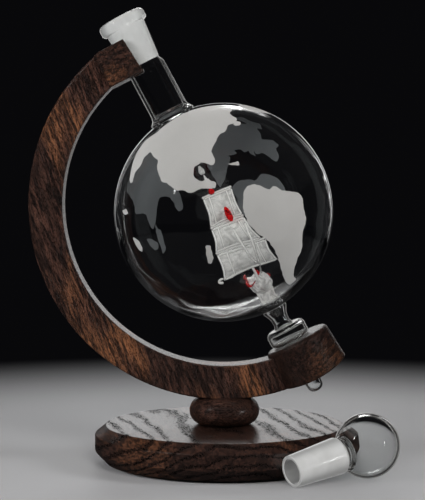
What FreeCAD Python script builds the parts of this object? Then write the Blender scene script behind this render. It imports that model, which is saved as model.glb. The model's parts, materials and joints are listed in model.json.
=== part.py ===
"""Globe decanter: a blown glass globe with a glass ship inside, turning in a curved wooden stand.

Millimetres, +Z up. The origin is the centre of the felt under the base, on the table. The curved
arm lies in the XZ plane. The glass leans in that plane, with its neck towards -X. Parts on the
glass axis are drawn upright about their own Z axis and leaned into place afterwards: in that
"glass frame" x points to the open side of the arm, and z runs up the neck from the level of the
arm's centre.
"""
import FreeCAD, Part
import math
import os

V = FreeCAD.Vector
X_AXIS = V(1, 0, 0)
Y_AXIS = V(0, 1, 0)
Z_AXIS = V(0, 0, 1)
ORIGIN = V(0, 0, 0)

# Driving dimensions of the stand
BASE_R = 87.0
BASE_TOP_Z = 25.5
FELT_R = 74.0
FELT_THICK = 1.5
TOP_BEVEL_WIDE = 7.4
TOP_BEVEL_HIGH = 6.0
LOW_BEVEL_WIDE = 7.0
LOW_BEVEL_HIGH = 7.5
BEVEL_EDGE_R = 1.0
RIM_EDGE_R = 1.5
BUN_R = 23.5
BUN_FLAT_R = 14.6
BUN_FOOT_R = 15.6
BUN_TOP_Z = 44.2
ARM_CENTRE_Z = 173.5
ARM_OUTER_R = 130.0
ARM_INNER_R = 107.5
ARM_DEPTH = 24.4
ARRIS_R = 1.2

# Driving dimensions of the glass, along the leaning axis
LEAN_DEG = 28.0
AXIS_OFFSET = -3.3
GLOBE_R = 73.0
GLOBE_WALL = 2.4
GLOBE_Z = -4.7
GLOBE_TOP_Z = GLOBE_Z + GLOBE_R
GLOBE_FOOT_Z = GLOBE_Z - GLOBE_R
MOUTH_Z = 142.0
MOUTH_LIP_R = 0.8
RIM_R = 16.3
RIM_HIGH = 7.5
RIM_TOP_ROUND_R = 3.0
RIM_UNDER_ROUND_R = 2.4
SOCKET_TOP_R = 13.6
SOCKET_END_R = 11.5
SOCKET_END_Z = 107.5
SOCKET_END_HIGH = 3.0
SOCKET_END_ROUND_R = 2.5
SOCKET_END_STEP = 0.6
GROUND_R = 12.0
GROUND_TAPER = 0.05
NECK_R = 12.8
NECK_WALL = 1.9
NECK_SHOULDER_HIGH = 3.5
NECK_SHOULDER_R = 3.0
WELD_SWELL = 2.4
WELD_HIGH = 4.0
SEAT_Z = -102.2
FLANGE_R = 13.8
FLANGE_HIGH = 11.1
FLANGE_TOP_ROUND_R = 3.5
FLANGE_LOW_ROUND_R = 3.2
FLANGE_TOP_WALL = 1.8
STEM_TOP_R = 9.2
STEM_WAIST_R = 6.3
STEM_FLARE = 1.2
PIN_R = 6.0
PIN_TIP_Z = -140.0
DROP_HIGH = 9.5
DROP_NARROWING = 1.2
DROP_SIDE_R = 6.0
DROP_TIP_R = 4.0
FOOT_WALL = 1.3
RUN_CLEAR = 0.06
TOUCH_GAP = 0.05
OVERSHOOT = 5.0

# Driving dimensions of the wooden ends that hold the glass
CRADLE_IN_Z = 102.8
CRADLE_OUT_Z = 127.5
CRADLE_GLUE_X = -26.5
CRADLE_TIP_IN_X = -2.8
CRADLE_TIP_OUT_X = -4.6
CRADLE_DEPTH = 35.0
BOSS_SEAT_R = 22.3
BOSS_BACK_R = 24.8
BOSS_BACK_Z = -134.0
BOSS_ROUND_R = 3.0
CRADLE_TIP_R = 1.0

# Fixing screw through base and bun into the arm
SCREW_R = 3.0
SCREW_HEAD_R = 5.0
SCREW_HEAD_HIGH = 6.0
SCREW_TIP_Z = 58.0
SCREW_HOLE_R = 3.3
WASHER_R = 9.0
WASHER_THICK = 1.6
COUNTERBORE_R = 10.0
COUNTERBORE_TOP_Z = 13.0
INSERT_R = 5.0
INSERT_BOTTOM_Z = 45.2
INSERT_HIGH = 12.0
POCKET_TOP_Z = 60.0
HEX_KEY_R = 2.9
HEX_KEY_DEEP = 3.2

# The stopper lying on the table in front of the base
BALL_R = 21.0
BALL_WALL = 2.0
BALL_X = 91.0
BALL_Y = -59.8
STOPPER_HEADING_DEG = 33.0
CONE_LONG = 36.0
CONE_WALL = 2.5
CONE_LIP_R = 0.6
CONE_SHOULDER_R = 1.6
CONE_SHOULDER_HIGH = 1.2
COLLAR_R = 11.2
COLLAR_FLARE = 0.9
COLLAR_WALL = 2.2
COLLAR_END_Z = -15.0
BALL_TO_TIP = 60.5

# Driving dimensions of the glass ship, in the glass frame
HEADING_DEG = 9.0
HULL_KEEL_Z = -65.5
MAST_R = 1.1
MAST_FOOT_Z = HULL_KEEL_Z + 6.0
MAST_TOP_Z = 24.0
YARD_R = 0.9
SAIL_THICK = 0.8
SAIL_BELLY = 2.6

# Red leaves: middle (x, z) and size (wide, thick, high)
FLAG_MIDDLE = (-0.6, 11.5)
FLAG_SIZE = (3.8, 1.8, 5.0)
PENNANT_MIDDLE = (2.5, -7.0)
PENNANT_SIZE = (4.2, 1.6, 11.4)

PEDESTAL_R = 5.4
PEDESTAL_TOP_R = 6.2
PEDESTAL_LAP = 3.0
PEDESTAL_WALL = 1.1
TRIM_R = 0.8
STAY_R = 0.45
STAY_MIDDLE_Y = -15.5
STAY_MIDDLE_Z = -32.0
STAY_HEAD_Z = -16.0
STAY_FOOT_Y = -34.0
STAY_FOOT_Z = -43.5
SPRIT_R = 1.0
SPRIT_TIP_R = 0.6

# Stays: x of the head, of the middle, and of the foot as measured off the ship's heading
STAYS = [(0.9, 1.6, -0.6), (9.6, 7.6, 0.6)]

# Hull stations from bow to stern, before the ship is turned to its heading:
# y, half breadth, keel height, gunwale height
HULL_STATIONS = [
    (-25.0, 0.9, -54.5, -49.5),
    (-17.0, 4.4, -62.5, -53.5),
    (-6.0, 6.8, HULL_KEEL_Z, -57.0),
    (8.0, 7.0, HULL_KEEL_Z, -57.0),
    (19.0, 5.6, -62.5, -55.0),
    (25.0, 4.2, -58.0, -52.0),
]
SPRIT_START = V(0, -24.4, -50.4)
SPRIT_END = V(0, -36.0, -43.8)

# Yards: left end (x, z) and right end (x, z)
YARDS = {
    "upper_yard": ((-8.4, 10.0), (13.2, 8.4)),
    "middle_yard": ((-12.6, -10.3), (11.2, -12.8)),
    "lower_yard": ((-17.6, -26.6), (17.6, -32.8)),
}

# Sails: top left, top right, bottom right, bottom left, each (x, z)
SAILS = {
    "top_sail": ((-7.8, 9.4), (12.6, 7.8), (10.6, -12.2), (-12.0, -9.8)),
    "middle_sail": ((-12.2, -11.4), (10.6, -13.7), (14.4, -31.4), (-17.0, -26.1)),
    "lower_sail": ((-17.2, -27.6), (17.0, -33.8), (17.6, -49.2), (-24.4, -45.4)),
}


def rounded_face(corners):
    """A flat face in the XZ plane from (x, z, radius) corners, each rounded by its radius."""
    points = [V(x, 0, z) for x, z, radius in corners]
    count = len(points)
    entries, middles, exits = [], [], []
    for index, here in enumerate(points):
        radius = corners[index][2]
        back = (points[index - 1] - here).normalize()
        ahead = (points[(index + 1) % count] - here).normalize()
        half_angle = back.getAngle(ahead) / 2
        set_back = radius / math.tan(half_angle)
        inward = (back + ahead).normalize() if radius else V(0, 0, 0)
        entries.append(here + back * set_back)
        exits.append(here + ahead * set_back)
        middles.append(here + inward * (radius / math.sin(half_angle) - radius))
    edges = []
    for index in range(count):
        following = (index + 1) % count
        if corners[index][2]:
            edges.append(Part.Arc(entries[index], middles[index], exits[index]).toShape())
        if exits[index].distanceToPoint(entries[following]) > 1e-6:
            edges.append(Part.makeLine(exits[index], entries[following]))
    return Part.Face(Part.Wire(edges))


def lathe(corners):
    """A turned solid about Z from (radius, z, corner radius) corners."""
    return rounded_face(corners).revolve(ORIGIN, Z_AXIS, 360)


def extruded(corners, depth):
    """A block with the outline in the XZ plane, centred on y = 0."""
    block = rounded_face(corners).extrude(Y_AXIS * depth)
    block.translate(Y_AXIS * (-depth / 2))
    return block


def box(low, high):
    """A plain block between two corners."""
    return Part.makeBox(high[0] - low[0], high[1] - low[1], high[2] - low[2], V(*low))


def upright(radius, bottom, top):
    """A cylinder about the Z axis between two heights."""
    return Part.makeCylinder(radius, top - bottom, V(0, 0, bottom), Z_AXIS)


def rod(start, end, start_r, end_r):
    """A round rod between two points, tapering if the radii differ."""
    run = end - start
    if start_r == end_r:
        return Part.makeCylinder(start_r, run.Length, start, run)
    return Part.makeCone(start_r, end_r, run.Length, start, run)


def leaned(shape):
    """Carry a solid from the glass frame to its place in the stand."""
    lean = FreeCAD.Rotation(Y_AXIS, -LEAN_DEG)
    centre = V(0, 0, ARM_CENTRE_Z) + lean.multVec(X_AXIS) * AXIS_OFFSET
    moved = shape.copy()
    moved.Placement = FreeCAD.Placement(centre, lean).multiply(shape.Placement)
    return moved


# ---------------------------------------------------------------- stand


def felt_disc():
    return upright(FELT_R, 0, FELT_THICK)


def base_disc():
    """Turned disc, bevelled above and below, counterbored for the screw head."""
    disc = lathe([
        (0, FELT_THICK, 0),
        (BASE_R - LOW_BEVEL_WIDE, FELT_THICK, BEVEL_EDGE_R),
        (BASE_R, FELT_THICK + LOW_BEVEL_HIGH, RIM_EDGE_R),
        (BASE_R, BASE_TOP_Z - TOP_BEVEL_HIGH, RIM_EDGE_R),
        (BASE_R - TOP_BEVEL_WIDE, BASE_TOP_Z, BEVEL_EDGE_R),
        (0, BASE_TOP_Z, 0),
    ])
    disc = disc.cut(upright(COUNTERBORE_R, 0, COUNTERBORE_TOP_Z))
    return disc.cut(upright(SCREW_HOLE_R, 0, BASE_TOP_Z + OVERSHOOT))


def bun_spacer():
    """Turned cushion-shaped spacer between base and arm."""
    middle = (BASE_TOP_Z + BUN_TOP_Z) / 2
    low = V(BUN_FOOT_R, 0, BASE_TOP_Z)
    high = V(BUN_FLAT_R, 0, BUN_TOP_Z)
    side = Part.Arc(low, V(BUN_R, 0, middle), high).toShape()
    foot = V(0, 0, BASE_TOP_Z)
    top = V(0, 0, BUN_TOP_Z)
    outline = [Part.makeLine(foot, low), side, Part.makeLine(high, top), Part.makeLine(top, foot)]
    bun = Part.Face(Part.Wire(outline)).revolve(ORIGIN, Z_AXIS, 360)
    return bun.cut(upright(SCREW_HOLE_R, 0, BUN_TOP_Z + OVERSHOOT))


def arm_ring():
    """The whole ring that the arm is sawn from, in the glass frame, its four arrises eased."""
    half = ARM_DEPTH / 2
    ring = lathe([
        (ARM_INNER_R, -half, ARRIS_R),
        (ARM_OUTER_R, -half, ARRIS_R),
        (ARM_OUTER_R, half, ARRIS_R),
        (ARM_INNER_R, half, ARRIS_R),
    ])
    ring.rotate(ORIGIN, X_AXIS, 90)
    ring.translate(X_AXIS * -AXIS_OFFSET)
    return ring


def boss_cone():
    """The round tapered boss, before its back is trimmed to the arm's curve."""
    boss = Part.makeCone(
        BOSS_BACK_R, BOSS_SEAT_R, SEAT_Z - BOSS_BACK_Z, V(-AXIS_OFFSET, 0, BOSS_BACK_Z), Z_AXIS
    )
    seat_edge = [edge for edge in boss.Edges if abs(edge.BoundBox.ZMin - SEAT_Z) < 0.01]
    return boss.makeFillet(BOSS_ROUND_R, seat_edge)


def arm():
    """C-shaped arm, flat under its lowest point for the bun, coped against the boss."""
    reach = 2 * ARM_OUTER_R
    piece = arm_ring()
    piece = piece.cut(box((CRADLE_GLUE_X, -reach, 0), (reach, reach, reach)))
    piece = piece.cut(box((-AXIS_OFFSET, -reach, -reach), (reach, reach, 0)))
    piece = leaned(piece.cut(boss_cone()))
    piece = piece.cut(upright(ARM_DEPTH, 0, BUN_TOP_Z))
    piece = piece.cut(upright(INSERT_R, 0, INSERT_BOTTOM_Z + INSERT_HIGH))
    return piece.cut(upright(SCREW_HOLE_R, 0, POCKET_TOP_Z))


def on_circle(radius, x):
    """Height above the arm's centre line of a circle about that centre, at x."""
    return math.sqrt(radius ** 2 - (x + AXIS_OFFSET) ** 2)


def runs_along_face(edge):
    """True for the long edges of the cradle's two flat faces, which are eased."""
    way = edge.tangentAt(edge.FirstParameter)
    return edge.Length > CRADLE_DEPTH / 3 and abs(way.x) > abs(way.z) and abs(way.x) > abs(way.y)


def cradle_head():
    """Glued block with a half-round groove that carries the neck, open towards +x."""
    flat_start = -AXIS_OFFSET - math.sqrt(ARM_OUTER_R ** 2 - CRADLE_OUT_Z ** 2)
    block = extruded([
        (CRADLE_GLUE_X, on_circle(ARM_INNER_R, CRADLE_GLUE_X), 0),
        (CRADLE_TIP_IN_X, CRADLE_IN_Z, CRADLE_TIP_R),
        (CRADLE_TIP_OUT_X, CRADLE_OUT_Z, CRADLE_TIP_R),
        (flat_start, CRADLE_OUT_Z, 0),
        (CRADLE_GLUE_X, on_circle(ARM_OUTER_R, CRADLE_GLUE_X), 0),
    ], CRADLE_DEPTH)
    block = block.makeFillet(ARRIS_R, [edge for edge in block.Edges if runs_along_face(edge)])
    socket_r = SOCKET_TOP_R - socket_slope() * (MOUTH_Z - RIM_HIGH - CRADLE_OUT_Z)
    groove = upright(socket_r + RUN_CLEAR, CRADLE_IN_Z - OVERSHOOT, CRADLE_OUT_Z + OVERSHOOT)
    return leaned(block.cut(groove))


def seat_head():
    """Glued boss that the glass foot stands on, drilled through for the glass pin."""
    drum = Part.makeCylinder(
        ARM_OUTER_R, 4 * BOSS_BACK_R, V(-AXIS_OFFSET, -2 * BOSS_BACK_R, 0), Y_AXIS
    )
    boss = boss_cone().common(drum)
    half_high = (SEAT_Z - BOSS_BACK_Z) / 2
    back_edges = [
        edge for edge in boss.Edges
        if edge.BoundBox.ZMax < SEAT_Z - half_high and edge.Length > 4 * BOSS_SEAT_R
    ]
    boss = boss.makeFillet(ARRIS_R, back_edges)
    return leaned(boss.cut(upright(PIN_R + RUN_CLEAR, BOSS_BACK_Z - OVERSHOOT, SEAT_Z + OVERSHOOT)))


def centre_screw():
    """Socket-head screw up through base and bun into the arm's insert."""
    under_head = COUNTERBORE_TOP_Z - WASHER_THICK
    head_bottom = under_head - SCREW_HEAD_HIGH
    screw = upright(SCREW_HEAD_R, head_bottom, under_head).fuse(
        upright(SCREW_R, under_head, SCREW_TIP_Z)
    )
    corners = [
        V(HEX_KEY_R * math.cos(math.radians(60 * turn)), HEX_KEY_R * math.sin(math.radians(60 * turn)), 0)
        for turn in range(7)
    ]
    key = Part.Face(Part.makePolygon(corners)).extrude(Z_AXIS * HEX_KEY_DEEP)
    key.translate(Z_AXIS * head_bottom)
    return screw.cut(key).removeSplitter()


def screw_washer():
    washer = upright(WASHER_R, COUNTERBORE_TOP_Z - WASHER_THICK, COUNTERBORE_TOP_Z)
    return washer.cut(upright(SCREW_HOLE_R, 0, BASE_TOP_Z))


def threaded_insert():
    """Plain sleeve for the insert; its thread is drawn at the screw's outside radius."""
    sleeve = upright(INSERT_R, INSERT_BOTTOM_Z, INSERT_BOTTOM_Z + INSERT_HIGH)
    return sleeve.cut(upright(SCREW_R, 0, POCKET_TOP_Z))


# ---------------------------------------------------------------- glass vessel


def socket_slope():
    """Fall of the socket's outside radius per millimetre of height."""
    return (SOCKET_TOP_R - SOCKET_END_R) / (MOUTH_Z - RIM_HIGH - SOCKET_END_Z - SOCKET_END_HIGH)


def ground_r(z):
    """Radius of the ground joint's surface at a height on the glass axis."""
    return GROUND_R - GROUND_TAPER * (MOUTH_Z - z)


def ground_socket():
    """Ground conical socket with a rolled rim."""
    rim_z = MOUTH_Z - RIM_HIGH
    return leaned(lathe([
        (ground_r(MOUTH_Z), MOUTH_Z, MOUTH_LIP_R),
        (RIM_R, MOUTH_Z, RIM_TOP_ROUND_R),
        (RIM_R, rim_z, RIM_UNDER_ROUND_R),
        (SOCKET_TOP_R, rim_z - SOCKET_END_STEP, SOCKET_END_STEP),
        (SOCKET_END_R, SOCKET_END_Z + SOCKET_END_HIGH, SOCKET_END_ROUND_R),
        (SOCKET_END_R - SOCKET_END_STEP, SOCKET_END_Z, 0),
        (ground_r(SOCKET_END_Z), SOCKET_END_Z, 0),
    ]))


def neck_tube():
    """Clear tube from the socket to the globe, swelling a little where it is welded on."""
    bore = NECK_R - NECK_WALL
    tube = lathe([
        (ground_r(SOCKET_END_Z), SOCKET_END_Z, 0),
        (SOCKET_END_R - SOCKET_END_STEP, SOCKET_END_Z, 0),
        (NECK_R, SOCKET_END_Z - NECK_SHOULDER_HIGH, NECK_SHOULDER_R),
        (NECK_R, GLOBE_TOP_Z + WELD_HIGH - 1, NECK_SHOULDER_R),
        (NECK_R + WELD_SWELL, GLOBE_TOP_Z - 1, 0),
        (NECK_R + WELD_SWELL, GLOBE_TOP_Z - 2 * WELD_HIGH, 0),
        (bore, GLOBE_TOP_Z - 2 * WELD_HIGH, 0),
        (bore, SOCKET_END_Z - WELD_HIGH, NECK_WALL),
    ])
    return leaned(tube.cut(Part.makeSphere(GLOBE_R, V(0, 0, GLOBE_Z))))


def globe_inside():
    return Part.makeSphere(GLOBE_R - GLOBE_WALL, V(0, 0, GLOBE_Z))


def globe_bulb():
    """Blown globe, open into the neck and closed below."""
    shell = Part.makeSphere(GLOBE_R, V(0, 0, GLOBE_Z)).cut(globe_inside())
    return leaned(shell.cut(upright(NECK_R - NECK_WALL, GLOBE_Z, GLOBE_Z + 2 * GLOBE_R)))


def foot_stem():
    """Hollow waisted stem under the globe."""
    top = GLOBE_FOOT_Z + 3
    shoulder = GLOBE_FOOT_Z - 0.5
    waist = GLOBE_FOOT_Z - 4.5
    bottom = SEAT_Z + FLANGE_HIGH
    wall = FOOT_WALL + 0.5
    stem = lathe([
        (STEM_TOP_R, top, 0),
        (STEM_TOP_R - 1, shoulder, 3.0),
        (STEM_WAIST_R, waist, 4.0),
        (STEM_WAIST_R, bottom + 3, 2.0),
        (STEM_WAIST_R + STEM_FLARE, bottom, 0),
        (STEM_WAIST_R + STEM_FLARE - wall, bottom, 0),
        (STEM_WAIST_R - FOOT_WALL, bottom + 3, 2.0),
        (STEM_WAIST_R - FOOT_WALL, waist, 4.0),
        (STEM_TOP_R - 1 - wall, shoulder, 2.0),
        (STEM_TOP_R - wall, top, 0),
    ])
    return leaned(stem.cut(Part.makeSphere(GLOBE_R, V(0, 0, GLOBE_Z))))


def foot_flange():
    """Hollow round-edged glass disc that rests on the seat."""
    top = SEAT_Z + FLANGE_HIGH
    bottom = SEAT_Z + TOUCH_GAP
    skin = lathe([
        (0, top, 0),
        (FLANGE_R, top, FLANGE_TOP_ROUND_R),
        (FLANGE_R, bottom, FLANGE_LOW_ROUND_R),
        (0, bottom, 0),
    ])
    hollow = lathe([
        (0, top - FLANGE_TOP_WALL, 0),
        (FLANGE_R - FOOT_WALL, top - FLANGE_TOP_WALL, FLANGE_TOP_ROUND_R - FOOT_WALL),
        (FLANGE_R - FOOT_WALL, bottom + FOOT_WALL, FLANGE_LOW_ROUND_R - FOOT_WALL),
        (0, bottom + FOOT_WALL, 0),
    ])
    return leaned(skin.cut(hollow))


def foot_pin():
    """Hollow glass pin, closed by a rounded drop below the arm."""
    top = SEAT_Z + TOUCH_GAP
    skin = lathe([
        (0, top, 0),
        (PIN_R, top, 0),
        (PIN_R, PIN_TIP_Z + DROP_HIGH, DROP_SIDE_R),
        (PIN_R - DROP_NARROWING, PIN_TIP_Z, DROP_TIP_R),
        (0, PIN_TIP_Z, 0),
    ])
    hollow = lathe([
        (0, top - FOOT_WALL, 0),
        (PIN_R - FOOT_WALL, top - FOOT_WALL, 0.8),
        (PIN_R - FOOT_WALL, PIN_TIP_Z + DROP_HIGH, DROP_SIDE_R),
        (PIN_R - FOOT_WALL - DROP_NARROWING, PIN_TIP_Z + FOOT_WALL, DROP_TIP_R - 1),
        (0, PIN_TIP_Z + FOOT_WALL, 0),
    ])
    return leaned(skin.cut(hollow))


# ---------------------------------------------------------------- glass ship


def front_of_mast():
    """y of the yards' centre line, just in front of the mast."""
    return -(MAST_R + YARD_R + TOUCH_GAP)


def hull_solid():
    """Round-bilged hull lofted from bow to stern, in the glass frame."""
    sections = []
    for y, half, keel, gunwale in HULL_STATIONS:
        left = V(-half, y, gunwale)
        right = V(half, y, gunwale)
        bilge = Part.Arc(left, V(0, y, keel), right).toShape()
        sections.append(Part.Wire([bilge, Part.makeLine(right, left)]))
    return Part.makeLoft(sections, True, False)


def headed(shape):
    """Turn a solid about the mast to the ship's heading."""
    shape.rotate(ORIGIN, Z_AXIS, HEADING_DEG)
    return shape


def ship_hull():
    return leaned(headed(hull_solid()))


def ship_pedestal():
    """Clear tapered tube that carries the hull off the bottom of the globe."""
    foot = V(0, 0, GLOBE_FOOT_Z)
    head = V(0, 0, HULL_KEEL_Z + PEDESTAL_LAP)
    tube = rod(foot, head, PEDESTAL_R, PEDESTAL_TOP_R)
    bore = rod(foot, head, PEDESTAL_R - PEDESTAL_WALL, PEDESTAL_TOP_R - PEDESTAL_WALL)
    return leaned(tube.cut(bore).common(globe_inside()).cut(headed(hull_solid())))


def hull_trim():
    """Red rail along each gunwale, resting on its edge."""
    rails = []
    for side in (-1, 1):
        points = [V(side * half, y, gunwale + TRIM_R) for y, half, keel, gunwale in HULL_STATIONS[1:]]
        line = Part.BSplineCurve()
        line.interpolate(points)
        path = Part.Wire(line.toShape())
        start_way = line.tangent(line.FirstParameter)[0]
        ring = Part.Wire(Part.makeCircle(TRIM_R, points[0], start_way))
        rails.append(path.makePipeShell([ring], True, True).cut(hull_solid()))
    return leaned(headed(Part.makeCompound(rails)))


def bowsprit():
    return leaned(headed(rod(SPRIT_START, SPRIT_END, SPRIT_R, SPRIT_TIP_R).cut(hull_solid())))


def main_mast():
    return leaned(rod(V(0, 0, MAST_FOOT_Z), V(0, 0, MAST_TOP_Z), MAST_R, MAST_R).cut(headed(hull_solid())))


def mast_finial():
    """Small bead with a point on the masthead."""
    return leaned(lathe([
        (0, MAST_TOP_Z, 0),
        (1.6, MAST_TOP_Z, 0.8),
        (2.3, MAST_TOP_Z + 2.3, 1.2),
        (1.0, MAST_TOP_Z + 4.4, 0.8),
        (0.4, MAST_TOP_Z + 6.5, 0),
        (0, MAST_TOP_Z + 6.5, 0),
    ]))


def yard(ends):
    (left_x, left_z), (right_x, right_z) = ends
    y = front_of_mast()
    return leaned(rod(V(left_x, y, left_z), V(right_x, y, right_z), YARD_R, YARD_R))


def sail_back_y():
    """y of the sails' back edges, just in front of the yards."""
    return front_of_mast() - YARD_R - TOUCH_GAP


def sail(corners):
    """A four-cornered glass plate, bowed forwards between its top and bottom edges."""
    highest = max(z for x, z in corners)
    lowest = min(z for x, z in corners)
    half_high = (highest - lowest) / 2
    bow_r = (half_high ** 2 + SAIL_BELLY ** 2) / (2 * SAIL_BELLY)
    centre_z = (highest + lowest) / 2
    centre_y = sail_back_y() - SAIL_BELLY + bow_r
    reach = 60.0
    start = V(-reach, centre_y, centre_z)
    plate = Part.makeCylinder(bow_r + SAIL_THICK, 2 * reach, start, X_AXIS)
    plate = plate.cut(Part.makeCylinder(bow_r, 2 * reach, start, X_AXIS))
    outline = [V(x, -reach, z) for x, z in corners]
    outline.append(outline[0])
    window = Part.Face(Part.makePolygon(outline)).extrude(Y_AXIS * (reach + sail_back_y() + 0.5))
    return leaned(plate.common(window))


def flat_leaf(middle, size, back_y):
    """A lens-shaped drop of glass, pressed thin in y, just in front of back_y."""
    wide, thick, high = size
    leaf = Part.makeSphere(1.0)
    stretch = FreeCAD.Matrix()
    stretch.scale(wide / 2, thick / 2, high / 2)
    leaf = leaf.transformGeometry(stretch)
    leaf.translate(V(middle[0], back_y - TOUCH_GAP - thick / 2, middle[1]))
    return leaned(leaf)


def masthead_flag():
    """Red leaf that hangs in front of the upper yard."""
    return flat_leaf(FLAG_MIDDLE, FLAG_SIZE, front_of_mast() - YARD_R)


def sail_pennant():
    """Red leaf on the top sail's belly."""
    return flat_leaf(PENNANT_MIDDLE, PENNANT_SIZE, sail_back_y() - SAIL_BELLY - SAIL_THICK)


def fore_stays():
    """Two thin bowed rods from the middle yard down to the bowsprit."""
    head_y = sail_back_y() - SAIL_BELLY - SAIL_THICK - STAY_R - 1
    heading = FreeCAD.Rotation(Z_AXIS, HEADING_DEG)
    rods = []
    for head_x, middle_x, foot_off in STAYS:
        head = V(head_x, head_y, STAY_HEAD_Z)
        middle = V(middle_x, STAY_MIDDLE_Y, STAY_MIDDLE_Z)
        foot = heading.multVec(V(foot_off, STAY_FOOT_Y, STAY_FOOT_Z))
        curve = Part.Arc(head, middle, foot).toShape()
        ring = Part.Wire(Part.makeCircle(STAY_R, head, curve.tangentAt(curve.FirstParameter)))
        rods.append(Part.Wire(curve).makePipeShell([ring], True, True))
    return leaned(Part.makeCompound(rods))


# ---------------------------------------------------------------- stopper


def laid_down(shape):
    """Carry a solid from the stopper's own axis, ball centre at z = 0 and tip below, to the table.

    The stopper rests on the ball and on the lip of its open end.
    """
    tip_r = GROUND_R - GROUND_TAPER * CONE_LONG
    reach = math.hypot(BALL_TO_TIP, tip_r)
    tilt = math.degrees(math.asin(BALL_R / reach) - math.atan2(tip_r, BALL_TO_TIP))
    spin = FreeCAD.Rotation(Z_AXIS, STOPPER_HEADING_DEG)
    tip_over = FreeCAD.Rotation(Y_AXIS, 90 - tilt)
    on_table = FreeCAD.Placement(V(BALL_X, BALL_Y, BALL_R), spin.multiply(tip_over))
    moved = shape.copy()
    moved.Placement = on_table.multiply(shape.Placement)
    return moved


def stopper_cone():
    """Hollow ground cone, open at its small end."""
    tip_z = -BALL_TO_TIP
    top_z = tip_z + CONE_LONG
    tip_r = GROUND_R - GROUND_TAPER * CONE_LONG
    return laid_down(lathe([
        (tip_r - CONE_WALL, tip_z, 1.0),
        (tip_r, tip_z, CONE_LIP_R),
        (GROUND_R, top_z, CONE_SHOULDER_R),
        (COLLAR_R, top_z + CONE_SHOULDER_HIGH, 0),
        (COLLAR_R - COLLAR_WALL, top_z + CONE_SHOULDER_HIGH, 0),
    ]))


def stopper_collar():
    """Short clear ring between the ground cone and the ball."""
    low = -BALL_TO_TIP + CONE_LONG + CONE_SHOULDER_HIGH
    collar = lathe([
        (COLLAR_R - COLLAR_WALL, low, 0),
        (COLLAR_R, low, 0),
        (COLLAR_R - 0.6, low + COLLAR_WALL, 1.0),
        (COLLAR_R + COLLAR_FLARE, COLLAR_END_Z, 0),
        (COLLAR_R - COLLAR_WALL, COLLAR_END_Z, 0),
    ])
    return laid_down(collar.cut(Part.makeSphere(BALL_R)))


def stopper_ball():
    """Hollow blown ball."""
    return laid_down(Part.makeSphere(BALL_R).cut(Part.makeSphere(BALL_R - BALL_WALL)))


PARTS = {
    "felt_disc": felt_disc,
    "base_disc": base_disc,
    "bun_spacer": bun_spacer,
    "arm": arm,
    "cradle_head": cradle_head,
    "seat_head": seat_head,
    "centre_screw": centre_screw,
    "screw_washer": screw_washer,
    "threaded_insert": threaded_insert,
    "ground_socket": ground_socket,
    "neck_tube": neck_tube,
    "globe_bulb": globe_bulb,
    "foot_stem": foot_stem,
    "foot_flange": foot_flange,
    "foot_pin": foot_pin,
    "ship_pedestal": ship_pedestal,
    "ship_hull": ship_hull,
    "hull_trim": hull_trim,
    "bowsprit": bowsprit,
    "main_mast": main_mast,
    "mast_finial": mast_finial,
    "masthead_flag": masthead_flag,
    "sail_pennant": sail_pennant,
    "fore_stays": fore_stays,
    "stopper_cone": stopper_cone,
    "stopper_collar": stopper_collar,
    "stopper_ball": stopper_ball,
}


def main():
    os.makedirs("parts", exist_ok=True)
    solids = {node: make() for node, make in PARTS.items()}
    for node, ends in YARDS.items():
        solids[node] = yard(ends)
    for node, corners in SAILS.items():
        solids[node] = sail(corners)
    for node, shape in solids.items():
        shape.exportStep(os.path.join("parts", node + ".step"))
        print(node, "solids", len(shape.Solids), "valid", shape.isValid(), "mm3", round(shape.Volume, 1))


main()
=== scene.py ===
import json
import math

import bmesh
import bpy
import numpy as np
from mathutils import Matrix, Vector, noise
from mathutils.geometry import delaunay_2d_cdt


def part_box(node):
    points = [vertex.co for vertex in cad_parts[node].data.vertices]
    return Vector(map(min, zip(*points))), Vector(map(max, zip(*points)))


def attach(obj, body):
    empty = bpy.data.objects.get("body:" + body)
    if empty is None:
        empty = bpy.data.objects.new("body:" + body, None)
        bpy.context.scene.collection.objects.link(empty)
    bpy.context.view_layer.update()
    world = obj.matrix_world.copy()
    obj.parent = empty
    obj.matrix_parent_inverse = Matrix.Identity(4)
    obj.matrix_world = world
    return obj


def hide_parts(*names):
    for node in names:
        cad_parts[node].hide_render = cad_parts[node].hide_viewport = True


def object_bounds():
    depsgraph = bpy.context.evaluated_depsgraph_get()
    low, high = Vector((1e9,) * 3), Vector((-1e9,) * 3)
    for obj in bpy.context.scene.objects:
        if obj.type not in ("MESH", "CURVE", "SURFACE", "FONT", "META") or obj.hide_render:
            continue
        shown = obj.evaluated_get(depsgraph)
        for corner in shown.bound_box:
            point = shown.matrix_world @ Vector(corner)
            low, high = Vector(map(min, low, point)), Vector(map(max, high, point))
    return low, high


# Looks for the globe decanter. Places are in metres in the frame's axes. Glass is drawn in millimetres
# about its own axis, z along that axis, and a matrix worked out from the frame carries it into place.

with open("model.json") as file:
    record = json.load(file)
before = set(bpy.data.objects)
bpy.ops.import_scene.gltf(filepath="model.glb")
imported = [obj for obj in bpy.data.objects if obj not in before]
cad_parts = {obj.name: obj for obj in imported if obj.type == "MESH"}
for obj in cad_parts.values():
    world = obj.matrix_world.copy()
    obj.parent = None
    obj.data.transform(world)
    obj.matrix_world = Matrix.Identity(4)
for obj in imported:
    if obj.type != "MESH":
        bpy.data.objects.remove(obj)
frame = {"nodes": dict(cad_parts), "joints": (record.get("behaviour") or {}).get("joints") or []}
cad_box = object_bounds()

MM = 0.001
TURN_STEPS = 160
GLOBE_STEPS = 224
SKIN_GAP = 0.03
ETCH_THICK = 0.06


# ---- places read from the frame


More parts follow.
